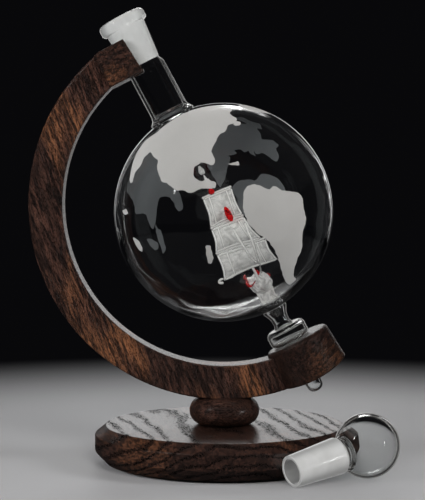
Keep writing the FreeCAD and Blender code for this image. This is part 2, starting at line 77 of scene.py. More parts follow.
def axis_place(origin, along):
    """Matrix from millimetres about an axis to the frame: z is the axis, y stays near the frame's y."""
    z = Vector(along).normalized()
    x = Vector((0, 1, 0)).cross(z).normalized()
    turn = Matrix((x, z.cross(x), z)).transposed().to_4x4()
    return Matrix.Translation(Vector(origin)) @ turn @ Matrix.Scale(MM, 4)


def node_points(node, place):
    """A CAD node's vertices in millimetres, in the frame that place carries from."""
    back = np.array(place.inverted())
    points = np.array([v.co for v in frame["nodes"][node].data.vertices], float)
    return points @ back[:3, :3].T + back[:3, 3]


def turned_span(node, place):
    """Lowest height, highest height and largest radius of a node about an axis, in millimetres."""
    points = node_points(node, place)
    return points[:, 2].min(), points[:, 2].max(), np.hypot(points[:, 0], points[:, 1]).max()


def glass_place():
    """The globe's centre, with z up its neck."""
    spin = next(joint for joint in frame["joints"] if joint["name"] == "globe_spin")
    return axis_place(spin["pos_m"], spin["axis"])


def stopper_place():
    """The stopper ball's centre, with z pointing away from the cone's tip."""
    low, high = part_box("stopper_ball")
    centre = (low + high) / 2
    points = np.array([v.co for v in frame["nodes"]["stopper_cone"].data.vertices], float)
    away = np.linalg.norm(points - np.array(centre), axis=1)
    tip = Vector(points[away > away.max() - 0.1 * MM].mean(axis=0))
    return axis_place(centre, centre - tip)


def heading():
    """How far the ship is turned about the glass axis: its bowsprit points away from the mast."""
    low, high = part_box("bowsprit")
    ahead = GLASS.inverted() @ ((low + high) / 2)
    return math.atan2(ahead.x, -ahead.y)


GLASS = glass_place()
STOPPER = stopper_place()
SHIP = GLASS @ Matrix.Rotation(heading(), 4, "Z")
GLOBE_R = turned_span("globe_bulb", GLASS)[2]


# ---- shader helpers


def add(tree, kind, inputs=None, **settings):
    """A shader node with its settings and inputs; an input is a value or another node's output."""
    node = tree.nodes.new(kind)
    for name, value in settings.items():
        setattr(node, name, value)
    for name, value in (inputs or {}).items():
        if isinstance(value, bpy.types.NodeSocket):
            tree.links.new(value, node.inputs[name])
        else:
            node.inputs[name].default_value = value
    return node


def maths(tree, operation, first, second=0.0):
    return add(tree, "ShaderNodeMath", {0: first, 1: second}, operation=operation).outputs[0]


def vectors(tree, operation, first, second=(0, 0, 0)):
    return add(tree, "ShaderNodeVectorMath", {0: first, 1: second}, operation=operation).outputs[0]


def object_coords(tree):
    return add(tree, "ShaderNodeTexCoord").outputs["Object"]


def noise_value(tree, vector, scale, detail=3.0, rough=0.5, warp=0.0):
    inputs = {"Vector": vector, "Scale": scale, "Detail": detail, "Roughness": rough, "Distortion": warp}
    return add(tree, "ShaderNodeTexNoise", inputs).outputs["Fac"]


def ramp(tree, value, low, high, low_out=0.0, high_out=1.0):
    """Smooth step of a value from low to high."""
    inputs = {"Value": value, "From Min": low, "From Max": high, "To Min": low_out, "To Max": high_out}
    node = add(tree, "ShaderNodeMapRange", inputs, interpolation_type="SMOOTHSTEP")
    return node.outputs["Result"]


def mix_colour(tree, share, first, second):
    node = add(tree, "ShaderNodeMix", {"Factor": share}, data_type="RGBA")
    for name, value in (("A", first), ("B", second)):
        socket = next(s for s in node.inputs if s.name == name and s.type == "RGBA")
        if isinstance(value, bpy.types.NodeSocket):
            tree.links.new(value, socket)
        else:
            socket.default_value = (*value, 1.0)
    return next(s for s in node.outputs if s.type == "RGBA")


def facing_away(tree):
    """0 where a surface faces the eye and 1 where it is seen edge on."""
    return add(tree, "ShaderNodeLayerWeight", {"Blend": 0.5}).outputs["Facing"]


def bumped(tree, height, strength, distance):
    """A normal tilted by the slopes of a height."""
    inputs = {"Height": height, "Strength": strength, "Distance": distance}
    return add(tree, "ShaderNodeBump", inputs).outputs[0]


def principled(tree, inputs):
    return add(tree, "ShaderNodeBsdfPrincipled", inputs).outputs[0]


def translucent(tree, colour, normal):
    return add(tree, "ShaderNodeBsdfTranslucent", {"Color": colour, "Normal": normal}).outputs[0]


def length_of(tree, vector):
    return add(tree, "ShaderNodeVectorMath", {0: vector}, operation="LENGTH").outputs["Value"]


def swing(tree, value, amount):
    """A noise value's swing either way about its middle, as a distance."""
    return maths(tree, "MULTIPLY", maths(tree, "SUBTRACT", value, 0.5), amount)


def off_middle(tree, value):
    """How far a value from 0 to 1 is from a half."""
    return maths(tree, "ABSOLUTE", maths(tree, "SUBTRACT", value, 0.5))


def mix_shader(tree, share, first, second):
    return add(tree, "ShaderNodeMixShader", {0: share, 1: first, 2: second}).outputs[0]


def material(name):
    """An empty node material and its tree, with an output node waiting for a surface."""
    made = bpy.data.materials.new(name)
    made.use_nodes = True
    made.node_tree.nodes.clear()
    return made, made.node_tree


def surface(tree, shader):
    add(tree, "ShaderNodeOutputMaterial", {"Surface": shader})


def soft_shadow(tree, shader, tint):
    """Lets light through for shadow and bounced rays, so glass doesn't cast a black shadow."""
    path = add(tree, "ShaderNodeLightPath").outputs
    through = maths(tree, "MAXIMUM", path["Is Shadow Ray"], path["Is Diffuse Ray"])
    clear = add(tree, "ShaderNodeBsdfTransparent", {"Color": (*tint, 1.0)}).outputs[0]
    return mix_shader(tree, through, shader, clear)


# ---- materials


def clear_glass(name, painted_rim_share=0.0):
    """Polished glass with faint drawn streaks; painted_rim_share is how white a painted highlight makes it
    edge on.
    """
    made, tree = material(name)
    coords = object_coords(tree)
    streak = noise_value(tree, coords, 60.0, 2.0)
    tint = mix_colour(tree, streak, (0.97, 0.985, 0.98), (0.99, 0.995, 0.995))
    bump = bumped(tree, streak, 0.04, 0.002)
    glass = principled(tree, {
        "Base Color": tint, "Roughness": 0.0, "IOR": 1.474, "Transmission Weight": 1.0, "Normal": bump,
    })
    if painted_rim_share:
        # Painted highlight: the glass turns white where it is seen edge on.
        rim = ramp(tree, facing_away(tree), 0.6, 0.95, 0.0, painted_rim_share)
        glass = mix_shader(tree, rim, glass, white_cloud(tree, streak, bump))
    surface(tree, soft_shadow(tree, glass, (0.93, 0.94, 0.94)))
    return made


MILKY_SHADOW = (0.92, 0.92, 0.92)
# Painted shade for the dark edges of drawn glass rods.
PAINTED_EDGE_SHADE = (0.06, 0.06, 0.06)


def milky_glass(name, thin, thick, swirl_scale, relief):
    """Lampwork glass with white cloud in it, between a thin and a thick share of the glass."""
    made, tree = material(name)
    coords = object_coords(tree)
    swirl = noise_value(tree, coords, swirl_scale, 3.0, 0.55, 1.0)
    fine = noise_value(tree, coords, 900.0, 2.0)
    bump = bumped(tree, swirl, relief, 0.001)
    glass = principled(tree, {
        "Base Color": (0.98, 0.98, 0.975, 1), "Roughness": ramp(tree, fine, 0.3, 0.7, 0.02, 0.08),
        "IOR": 1.47, "Transmission Weight": 1.0, "Normal": bump,
    })
    body = mix_shader(tree, ramp(tree, swirl, 0.3, 0.65, thin, thick), glass, white_cloud(tree, swirl, bump))
    surface(tree, soft_shadow(tree, body, MILKY_SHADOW))
    return made


def white_cloud(tree, swirl, bump):
    """White glass that scatters light forwards and back under a polished skin."""
    white = mix_colour(tree, swirl, (0.86, 0.83, 0.8), (0.95, 0.93, 0.91))
    scatter = principled(tree, {
        "Base Color": white, "Roughness": 0.35, "Specular IOR Level": 0.6, "Coat Weight": 1.0,
        "Coat Roughness": 0.03, "Normal": bump,
    })
    glow = translucent(tree, white, bump)
    return mix_shader(tree, 0.35, scatter, glow)


def drawn_glass():
    """Drawn glass rod: a painted highlight, white along its middle, and painted shade, dark along its edges.
    """
    made, tree = material("drawn_glass")
    coords = object_coords(tree)
    grazing = facing_away(tree)
    streak = noise_value(tree, coords, 300.0, 2.0)
    bump = bumped(tree, streak, 0.3, 0.0006)
    # Painted shade: the rod's colour turns dark where it is seen edge on.
    glass = principled(tree, {
        "Base Color": mix_colour(tree, ramp(tree, grazing, 0.3, 0.8), (0.97, 0.97, 0.97), PAINTED_EDGE_SHADE),
        "Roughness": 0.02, "IOR": 1.47, "Transmission Weight": 1.0, "Normal": bump,
    })
    # Painted highlight: white cloud along the middle, where the rod faces the eye.
    middle = ramp(tree, grazing, 0.12, 0.55, 0.95, 0.02)
    body = mix_shader(tree, middle, glass, white_cloud(tree, streak, bump))
    surface(tree, soft_shadow(tree, body, MILKY_SHADOW))
    return made


def frosted_glass(name, rough, tone=1.0):
    """Finely pitted ground white glass: pale facing the eye, greyer in painted shade, white in painted
    highlight at its edge.
    """
    made, tree = material(name)
    coords = object_coords(tree)
    grit = noise_value(tree, coords, 4200.0, 3.0, 0.7)
    cloud = noise_value(tree, coords, 90.0, 3.0)
    bump = bumped(tree, grit, 0.25, 0.0003)
    grazing = facing_away(tree)
    colour = mix_colour(tree, ramp(tree, cloud, 0.3, 0.7), (0.86, 0.865, 0.855), (0.97, 0.975, 0.97))
    # Painted shade: greyer where the glass turns from the eye.
    colour = mix_colour(tree, ramp(tree, grazing, 0.15, 0.55), colour, (0.5, 0.505, 0.5))
    # Painted highlight: white where the glass is seen edge on.
    colour = mix_colour(tree, ramp(tree, grazing, 0.6, 0.8), colour, (0.99, 0.99, 0.985))
    # Painted shade: a tone below 1 darkens the whole colour.
    colour = mix_colour(tree, 1.0 - tone, colour, (0.01, 0.01, 0.01))
    ground = principled(tree, {
        "Base Color": colour, "Roughness": rough, "IOR": 1.47, "Transmission Weight": 0.15,
        "Coat Weight": 1.0, "Coat Roughness": 0.14,
        "Sheen Weight": 1.0, "Sheen Roughness": 0.45, "Normal": bump,
    })
    glow = translucent(tree, colour, bump)
    surface(tree, soft_shadow(tree, mix_shader(tree, 0.4, ground, glow), (0.75, 0.75, 0.75)))
    return made


def etched_glass():
    """Sand-blasted land on the globe: pale from outside, darker in painted shade where it is seen from
    inside.
    """
    made, tree = material("etched_glass")
    coords = object_coords(tree)
    grit = noise_value(tree, coords, 5200.0, 2.0, 0.7)
    cloud = noise_value(tree, coords, 28.0, 3.0)
    bump = bumped(tree, grit, 0.3, 0.0002)
    outside = mix_colour(tree, cloud, (0.5, 0.493, 0.483), (0.64, 0.632, 0.62))
    # Painted shade: the same land colour drawn darker, for land seen from inside through the globe.
    behind = mix_colour(tree, cloud, (0.2, 0.203, 0.213), (0.32, 0.324, 0.335))
    from_inside = add(tree, "ShaderNodeNewGeometry").outputs["Backfacing"]
    colour = mix_colour(tree, from_inside, outside, behind)
    inputs = {"Color": colour, "Roughness": 0.6, "Normal": bump}
    diffuse = add(tree, "ShaderNodeBsdfDiffuse", inputs).outputs[0]
    clear = add(tree, "ShaderNodeBsdfTransparent", {"Color": (0.95, 0.95, 0.95, 1)}).outputs[0]
    matt = mix_shader(tree, 0.2, diffuse, translucent(tree, colour, bump))
    surface(tree, mix_shader(tree, ramp(tree, grit, 0.2, 0.8, 0.3, 0.16), matt, clear))
    return made


def bare_glass():
    """The inner side of the etched layer, which is only the globe's own clear glass."""
    made, tree = material("bare_glass")
    wave = noise_value(tree, object_coords(tree), 40.0, 2.0)
    tint = mix_colour(tree, wave, (0.97, 0.975, 0.975), (1.0, 1.0, 1.0))
    surface(tree, add(tree, "ShaderNodeBsdfTransparent", {"Color": tint}).outputs[0])
    return made


def red_glass():
    """Deep red glass with darker cloud in it."""
    made, tree = material("red_glass")
    coords = object_coords(tree)
    cloud = noise_value(tree, coords, 420.0, 3.0, 0.6, 1.0)
    colour = mix_colour(tree, ramp(tree, cloud, 0.35, 0.6), (0.12, 0.001, 0.002), (0.75, 0.008, 0.01))
    bump = bumped(tree, cloud, 0.3, 0.0005)
    glass = principled(tree, {
        "Base Color": colour, "Roughness": 0.06, "IOR": 1.5, "Transmission Weight": 0.35,
        "Coat Weight": 1.0, "Coat Roughness": 0.03, "Normal": bump,
    })
    surface(tree, soft_shadow(tree, glass, (0.6, 0.1, 0.1)))
    return made


def squeezed(tree, log, along):
    """Wood coordinates squeezed along the grain, so that what is drawn on them comes out long."""
    return vectors(tree, "MULTIPLY", log, (1.0, 1.0, along))


RING_SWAY = 0.012
RING_JITTER = 0.005


def growth_rings(tree, log, ring_gap):
    """How porous the wood is, 1 in the early wood of each year and 0 in the late wood."""
    sway = noise_value(tree, squeezed(tree, log, 0.35), 34.0, 3.0, 0.55)
    jitter = noise_value(tree, squeezed(tree, log, 0.5), 520.0, 3.0, 0.7)
    reach = length_of(tree, squeezed(tree, log, 0.0))
    reach = maths(tree, "ADD", reach, swing(tree, sway, RING_SWAY))
    reach = maths(tree, "ADD", reach, swing(tree, jitter, RING_JITTER))
    phase = maths(tree, "FRACT", maths(tree, "DIVIDE", reach, ring_gap))
    return maths(tree, "MULTIPLY", ramp(tree, phase, 0.0, 0.1), ramp(tree, phase, 0.26, 0.46, 1.0, 0.0))


def stained_wood(name, grain, pith, ring_gap, patches, pore_scale=1500.0, rings=1.0, tone=1.0):
    """Dark stained ring-porous wood: growth rings round the pith line, pores and fibres along the grain.

    patches is how strong the orange-brown patches are, and where their noise starts. rings is how far the
    pores keep to the rings. tone is 1 for full colour and less to darken the colour all over.
    """
    made, tree = material(name)
    turn = Vector(grain).rotation_difference(Vector((0, 0, 1))).to_euler()
    centred = vectors(tree, "SUBTRACT", object_coords(tree), pith)
    log = add(tree, "ShaderNodeMapping", {"Vector": centred, "Rotation": turn}).outputs[0]
    early = maths(tree, "MULTIPLY", growth_rings(tree, log, ring_gap), rings)

    pore = noise_value(tree, squeezed(tree, log, 0.16), pore_scale, 2.0, 0.6)
    fibre = noise_value(tree, squeezed(tree, log, 0.07), 3000.0, 2.0, 0.6)
    streak = noise_value(tree, squeezed(tree, log, 0.12), 620.0, 4.0, 0.75)
    figure = noise_value(tree, squeezed(tree, log, 0.2), 150.0, 3.0, 0.6)
    cover = maths(tree, "MAXIMUM", early, 1.0 - rings)
    curl = noise_value(tree, squeezed(tree, log, 0.2), pore_scale * 0.45, 1.0, 0.5)
    curl = ramp(tree, off_middle(tree, curl), 0.012, 0.05, 1.0, 0.0)
    pores = maths(tree, "MULTIPLY", maths(tree, "MAXIMUM", ramp(tree, pore, 0.52, 0.64), curl), cover)

    strength, start = patches
    patch = noise_value(tree, squeezed(tree, log, 0.35), 26.0, 3.0, 0.55)
    glow = maths(tree, "MULTIPLY", ramp(tree, patch, start, start + 0.16), strength)
    glow = maths(tree, "MULTIPLY", glow, ramp(tree, streak, 0.42, 0.6, 0.08, 1.0))
    body = mix_colour(tree, ramp(tree, streak, 0.42, 0.6), (0.006, 0.0034, 0.0029), (0.105, 0.047, 0.033))
    body = mix_colour(tree, ramp(tree, figure, 0.4, 0.65, 0.55, 0.0), body, (0.018, 0.0095, 0.0075))
    body = mix_colour(tree, glow, body, (0.33, 0.13, 0.055))
    body = mix_colour(tree, maths(tree, "MULTIPLY", fibre, 0.35), body, (0.012, 0.0065, 0.0055))
    body = mix_colour(tree, maths(tree, "MULTIPLY", early, 0.75), body, (0.008, 0.0045, 0.004))
    body = mix_colour(tree, pores, body, (0.003, 0.0022, 0.002))
    body = mix_colour(tree, 1.0 - tone, body, (0.002, 0.0015, 0.0012))

    height = maths(tree, "SUBTRACT", maths(tree, "MULTIPLY", fibre, 0.3), pores)
    bump = bumped(tree, height, 0.5, 0.0004)
    rough = maths(tree, "ADD", ramp(tree, fibre, 0.2, 0.8, 0.3, 0.42), maths(tree, "MULTIPLY", pores, 0.4))
    wood = principled(tree, {
        "Base Color": body, "Roughness": rough, "Normal": bump,
        "Specular IOR Level": ramp(tree, pores, 0.0, 1.0, 0.6, 0.03),
        "Coat Weight": ramp(tree, early, 0.0, 1.0, 0.4, 0.04), "Coat Roughness": 0.22,
    })
    surface(tree, wood)
    return made


def brushed_metal(name, light, dark):
    """Drawn or turned metal with fine scratches."""
    made, tree = material(name)
    drawn = vectors(tree, "MULTIPLY", object_coords(tree), (1.0, 1.0, 0.05))
    scratch = noise_value(tree, drawn, 5000.0, 3.0)
    bump = bumped(tree, scratch, 0.2, 0.0001)
    metal = principled(tree, {
        "Base Color": mix_colour(tree, scratch, dark, light), "Metallic": 1.0,
        "Roughness": ramp(tree, scratch, 0.3, 0.7, 0.22, 0.4), "Normal": bump,
    })
    surface(tree, metal)
    return made


def felt():
    """Black felt with a fuzzy surface."""
    made, tree = material("felt")
    coords = object_coords(tree)
    fuzz = noise_value(tree, coords, 2600.0, 4.0, 0.75, 1.5)
    bump = bumped(tree, fuzz, 0.8, 0.0006)
    cloth = principled(tree, {
        "Base Color": mix_colour(tree, fuzz, (0.012, 0.012, 0.013), (0.05, 0.05, 0.052)), "Roughness": 0.95,
        "Sheen Weight": 0.4, "Normal": bump,
    })
    surface(tree, cloth)
    return made


CLEAR = clear_glass("clear_glass")
# Glass with a painted white highlight along the edges it shows.
PAINTED_RIM_GLASS = clear_glass("painted_rim_glass", 0.7)
SAIL_GLASS = milky_glass("sail_glass", 0.42, 0.9, 150.0, 0.5)
HULL_GLASS = milky_glass("hull_glass", 0.3, 0.95, 190.0, 0.7)
DRAWN = drawn_glass()
FROSTED = frosted_glass("frosted_glass", 0.42)
# Painted shade inside the bore of the stopper cone.
SHADED_BORE = frosted_glass("shaded_bore", 0.42, 0.35)
ETCHED = etched_glass()
BARE = bare_glass()
RED = red_glass()


def dress_cad_nodes():
    """Procedural materials for the CAD nodes that stay on show."""
    block_log = ((0.5, 0.7, 0.5), (0.1, 0.05, 0), 0.0028, (0.6, 0.54), 2000.0, 0.5)
    finishes = {
        "base_disc": stained_wood(
            "base_wood", (-0.22, 1, 0), (-0.005, 0, -0.07), 0.0058, (0.4, 0.5), tone=0.6),
        "bun_spacer": stained_wood(
            "bun_wood", (1, 0, 0), (0, 0.1, -0.09), 0.006, (0.9, 0.46), 2000.0, 0.3, 0.95),
        "arm": stained_wood(
            "arm_wood", (0.36, 0.0, -0.93), (0.05, -0.11, 0.1), 0.0035, (1.0, 0.5), 2400.0, 0.35),
        # Both heads use the same wood; the seat head is drawn darker than the cradle head.
        "cradle_head": stained_wood("cradle_wood", *block_log, tone=0.75),
        "seat_head": stained_wood("seat_wood", *block_log, tone=0.48),
        "centre_screw": brushed_metal("zinc_steel", (0.66, 0.67, 0.69), (0.4, 0.41, 0.43)),
        "screw_washer": brushed_metal("washer_steel", (0.6, 0.6, 0.62), (0.38, 0.38, 0.4)),
        "threaded_insert": brushed_metal("brass", (0.78, 0.6, 0.28), (0.5, 0.36, 0.14)),
        "felt_disc": felt(),
    }
    for node, finish in finishes.items():
        obj = frame["nodes"][node]
        obj.data.materials.clear()
        obj.data.materials.append(finish)


# ---- mesh helpers


def hollowed(bm, hollow):
    """Adds a closed hollow to a closed skin; the hollow's faces look into it."""
    bmesh.ops.recalc_face_normals(bm, faces=bm.faces)
    bmesh.ops.recalc_face_normals(hollow, faces=hollow.faces)
    bmesh.ops.reverse_faces(hollow, faces=hollow.faces)
    spare = bpy.data.meshes.new("spare")
    hollow.to_mesh(spare)
    hollow.free()
    bm.from_mesh(spare)
    bpy.data.meshes.remove(spare)
    return bm


def show(bm, node, place, body, finish, sharp_deg=40, outward=True):
    """Turns a bmesh in millimetres into the piece that stands for a CAD node."""
    if outward:
        bmesh.ops.recalc_face_normals(bm, faces=bm.faces)
    mesh = bpy.data.meshes.new(node + "_look")
    bm.to_mesh(mesh)
    bm.free()
    mesh.transform(place)
    mesh.shade_smooth()
    mesh.set_sharp_from_angle(angle=math.radians(sharp_deg))
    mesh.materials.append(finish)
    obj = bpy.data.objects.new(node + "_look", mesh)
    bpy.context.scene.collection.objects.link(obj)
    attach(obj, body)
    if node in frame["nodes"]:
        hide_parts(node)
    return obj


def rounded(corners, arc_step_deg=10.0):
    """Points of a closed outline from (radius, height, corner radius) corners."""
    count = len(corners)
    points = []
    for index, (x, z, radius) in enumerate(corners):
        here = Vector((x, z))
        if not radius:
            points.append((x, z))
            continue
        back = (Vector(corners[index - 1][:2]) - here).normalized()
        ahead = (Vector(corners[(index + 1) % count][:2]) - here).normalized()
        half = back.angle(ahead) / 2
        centre = here + (back + ahead).normalized() * (radius / math.sin(half))
        start = here + back * (radius / math.tan(half)) - centre
        sweep = math.pi - 2 * half
        if start.angle_signed(here + ahead * (radius / math.tan(half)) - centre) > 0:
            sweep = -sweep
        steps = max(2, math.ceil(abs(math.degrees(sweep)) / arc_step_deg))
        for step in range(steps + 1):
            turned_by = Matrix.Rotation(sweep * step / steps, 2)
            points.append(tuple(centre + turned_by @ start))
    return points


def skin_rings(bm, rings, closed):
    """Faces between neighbouring rings of vertices; a ring of one vertex is a pole."""
    pairs = zip(rings, rings[1:] + rings[:1]) if closed else zip(rings, rings[1:])
    for ring, following in pairs:
        steps = max(len(ring), len(following))
        if steps == 1:
            continue
        for step in range(steps):
            corners = [
                ring[step % len(ring)],
                ring[(step + 1) % len(ring)],
                following[(step + 1) % len(following)],
                following[step % len(following)],
            ]
            bm.faces.new(list(dict.fromkeys(corners)))


def turned(outline, steps=TURN_STEPS, wobble=None, closed=True):
    """A lathe mesh about z from an outline, closed or pole to pole.

    wobble(angle, radius, height) moves the radius a little.
    """
    bm = bmesh.new()
    rings = []
    for radius, height in outline:
        if radius < 1e-6:
            rings.append([bm.verts.new((0, 0, height))])
            continue
        ring = []
        for step in range(steps):
            angle = 2 * math.pi * step / steps
            out = radius + (wobble(angle, radius, height) if wobble else 0.0)
            ring.append(bm.verts.new((out * math.cos(angle), out * math.sin(angle), height)))
        rings.append(ring)
    skin_rings(bm, rings, closed)
    return bm


def swept(path, radius_at, sides=20, bm=None):
    """A closed rod along a path; radius_at(share, angle) gives its radius. Ends are rounded over."""
    bm = bm or bmesh.new()
    path = [Vector(point) for point in path]
    side = Vector((0, 1, 0))
    rings = []
    for index, point in enumerate(path):
        along = (path[min(index + 1, len(path) - 1)] - path[max(index - 1, 0)]).normalized()
        across = (side - along * side.dot(along)).normalized()
        other = along.cross(across)
        side = across
        share = index / (len(path) - 1)
        ring = []
        for step in range(sides):
            angle = 2 * math.pi * step / sides
            out = radius_at(share, angle)
            ring.append(bm.verts.new(point + (across * math.cos(angle) + other * math.sin(angle)) * out))
        rings.append(ring)
    first_way = (path[0] - path[1]).normalized()
    last_way = (path[-1] - path[-2]).normalized()
    start = [bm.verts.new(path[0] + first_way * radius_at(0.0, 0.0) * 0.5)]
    end = [bm.verts.new(path[-1] + last_way * radius_at(1.0, 0.0) * 0.5)]
    skin_rings(bm, [start] + rings + [end], closed=False)
    return bm


def between(start, end, count):
    """Evenly spaced points from start to end."""
    start, end = Vector(start), Vector(end)
    return [start.lerp(end, index / (count - 1)) for index in range(count)]


def bead(share, sharp=0.06):
    """Rounds a rod's radius off towards both ends, as a share of full radius."""
    edge = min(share, 1 - share) / sharp
    return math.sqrt(max(0.0, 1 - (1 - min(edge, 1.0)) ** 2)) * 0.75 + 0.25


# ---- the glass vessel


GLOBE_WALL = 2.2
FOOT_THICKENING = 2.4
NECK_THICKENING = 1.0


def wall_at(polar):
    """Wall thickness of the blown globe; it gathers towards the foot and a little towards the neck."""
    foot = FOOT_THICKENING * math.exp(-(((math.pi - polar) / math.radians(17)) ** 2))
    neck = NECK_THICKENING * math.exp(-((polar / math.radians(24)) ** 2))
    return GLOBE_WALL + foot + neck


def neck_bore():
    """Radius of the neck's bore, in from the ring where the neck joins the globe."""
    return turned_span("neck_tube", GLASS)[2] - 4.3


def globe_bulb():
    """The blown globe, open at the neck; its inner side is rippled, most of all near the foot."""
    opening = math.asin(neck_bore() / GLOBE_R)
    polars = np.linspace(opening, math.pi, 90)
    outside = [(GLOBE_R * math.sin(polar), GLOBE_R * math.cos(polar)) for polar in polars[:-1]]
    outside.append((0.0, -GLOBE_R))
    inside = []
    for polar in polars[::-1]:
        inner = GLOBE_R - wall_at(polar)
        inside.append((inner * math.sin(polar), inner * math.cos(polar)))
    inside[0] = (0.0, inside[0][1])

    def ripple(angle, radius, height):
        if math.hypot(radius, height) > GLOBE_R - 0.5:
            return 0.0
        spot = Vector((radius * math.cos(angle), radius * math.sin(angle), height * 2.0)) / 24.0
        near_foot = max(0.0, -height / GLOBE_R) ** 3
        return (0.2 + 1.1 * near_foot) * noise.noise(spot)

    bm = turned(outside + inside, GLOBE_STEPS, ripple)
    show(bm, "globe_bulb", GLASS, "vessel", CLEAR)


def on_globe(radius, up):
    """Height on the globe's skin, just clear of it, at a radius from its axis."""
    return up * math.sqrt((GLOBE_R + SKIN_GAP) ** 2 - radius ** 2)


def neck_tube():
    """Short neck, flared where it joins the globe."""
    _, high, ring_r = turned_span("neck_tube", GLASS)
    tube_r = ring_r - 2.4
    bore = neck_bore()
    outline = rounded([
        (bore, on_globe(bore, 1), 0),
        (ring_r, on_globe(ring_r, 1), 0),
        (ring_r + 0.5, on_globe(ring_r, 1) + 1.4, 0.7),
        (tube_r + 0.7, on_globe(tube_r, 1) + 3.4, 1.2),
        (tube_r, on_globe(tube_r, 1) + 6.0, 2.0),
        (tube_r, high - 3.5, 3.0),
        (tube_r - 1.9, high, 0),
        (bore - 0.6, high, 0),
        (bore, high - 4.0, 2.0),
    ])
    show(turned(outline), "neck_tube", GLASS, "vessel", PAINTED_RIM_GLASS)


BORE_SKIN = 0.3


def mark_bore(bm, low_r, low, high_r, high):
    """Gives the faces on or inside a conical bore the second finish."""
    for face in bm.faces:
        middle = face.calc_center_median()
        bore = low_r + (high_r - low_r) * (middle.z - low) / (high - low)
        if math.hypot(middle.x, middle.y) < bore + BORE_SKIN:
            face.material_index = 1
    return bm


def ground_socket():
    """Conical socket, polished outside and ground inside, with a rolled rim."""
    low, high, rim_r = turned_span("ground_socket", GLASS)
    body_r = rim_r - 2.7
    end_r = body_r - 2.1
    mouth_r = rim_r - 4.3
    tip_r = mouth_r - 0.05 * (high - low)
    rim_low = high - 7.5
    outline = rounded([
        (mouth_r, high, 0.8),
        (rim_r, high, 3.0),
        (rim_r, rim_low, 2.4),
        (body_r, rim_low - 0.6, 0.6),
        (end_r, low + 3, 2.5),
        (end_r - 0.6, low + 0.02, 0),
        (tip_r, low + 0.02, 0),
    ])
    bm = mark_bore(turned(outline), tip_r, low, mouth_r, high)
    socket = show(bm, "ground_socket", GLASS, "vessel", PAINTED_RIM_GLASS)
    socket.data.materials.append(FROSTED)


def foot_stem():
    """Waisted tube between the globe and the foot."""
    low, _, top_r = turned_span("foot_stem", GLASS)
    waist_r = top_r - 2.9
    outline = rounded([
        (top_r, on_globe(top_r, -1), 0),
        (top_r - 0.2, on_globe(top_r, -1) - 1.6, 0.8),
        (waist_r + 0.4, low + 7.5, 4.0),
        (waist_r, low + 3.2, 2.5),
        (waist_r + 1.2, low + 0.02, 0),
        (waist_r - 0.4, low + 0.02, 0),
        (waist_r - 1.5, low + 3.0, 2.0),
        (waist_r - 1.2, low + 7.5, 4.0),
        (top_r - 2.2, on_globe(top_r, -1) - 1.6, 0.8),
        (top_r - 1.9, on_globe(top_r - 1.9, -1), 0),
    ])
    show(turned(outline), "foot_stem", GLASS, "vessel", PAINTED_RIM_GLASS)


def foot_flange():
    """Hollow round-edged disc with fine ribs round its upper edge."""
    low, high, radius = turned_span("foot_flange", GLASS)
    skin = rounded([(0, high - 0.02, 0), (radius, high - 0.02, 3.5), (radius, low, 3.2), (0, low, 0)])
    hollow = rounded([
        (0, low + 1.5, 0),
        (radius - 1.5, low + 1.5, 2.0),
        (radius - 1.5, high - 2.0, 2.2),
        (0, high - 2.0, 0),
    ])

    def ribs(angle, at_radius, height):
        near_top = max(0.0, 1 - abs(height - high) / 1.5) * (at_radius > radius * 0.55)
        return 0.16 * near_top * math.sin(64 * angle)

    bm = hollowed(turned(skin, 256, ribs), turned(hollow, 128))
    show(bm, "foot_flange", GLASS, "vessel", PAINTED_RIM_GLASS, outward=False)


def foot_pin():
    """Hollow pin closed by a rounded drop."""
    low, high, radius = turned_span("foot_pin", GLASS)
    wall = 1.2
    skin = rounded([
        (0, high - 0.02, 0),
        (radius, high - 0.02, 0),
        (radius, low + 9.5, 6.0),
        (radius - 1.0, low, 4.2),
        (0, low, 0),
    ])
    hollow = rounded([
        (0, low + wall, 0), (radius - 2.0, low + wall, 3.4), (radius - wall, low + 9.5, 6.0),
        (radius - wall, high - 1.4, 0.8), (0, high - 1.4, 0),
    ])
    bm = hollowed(turned(skin, 96), turned(hollow, 96))
    show(bm, "foot_pin", GLASS, "vessel", PAINTED_RIM_GLASS, outward=False)


# ---- the etched map


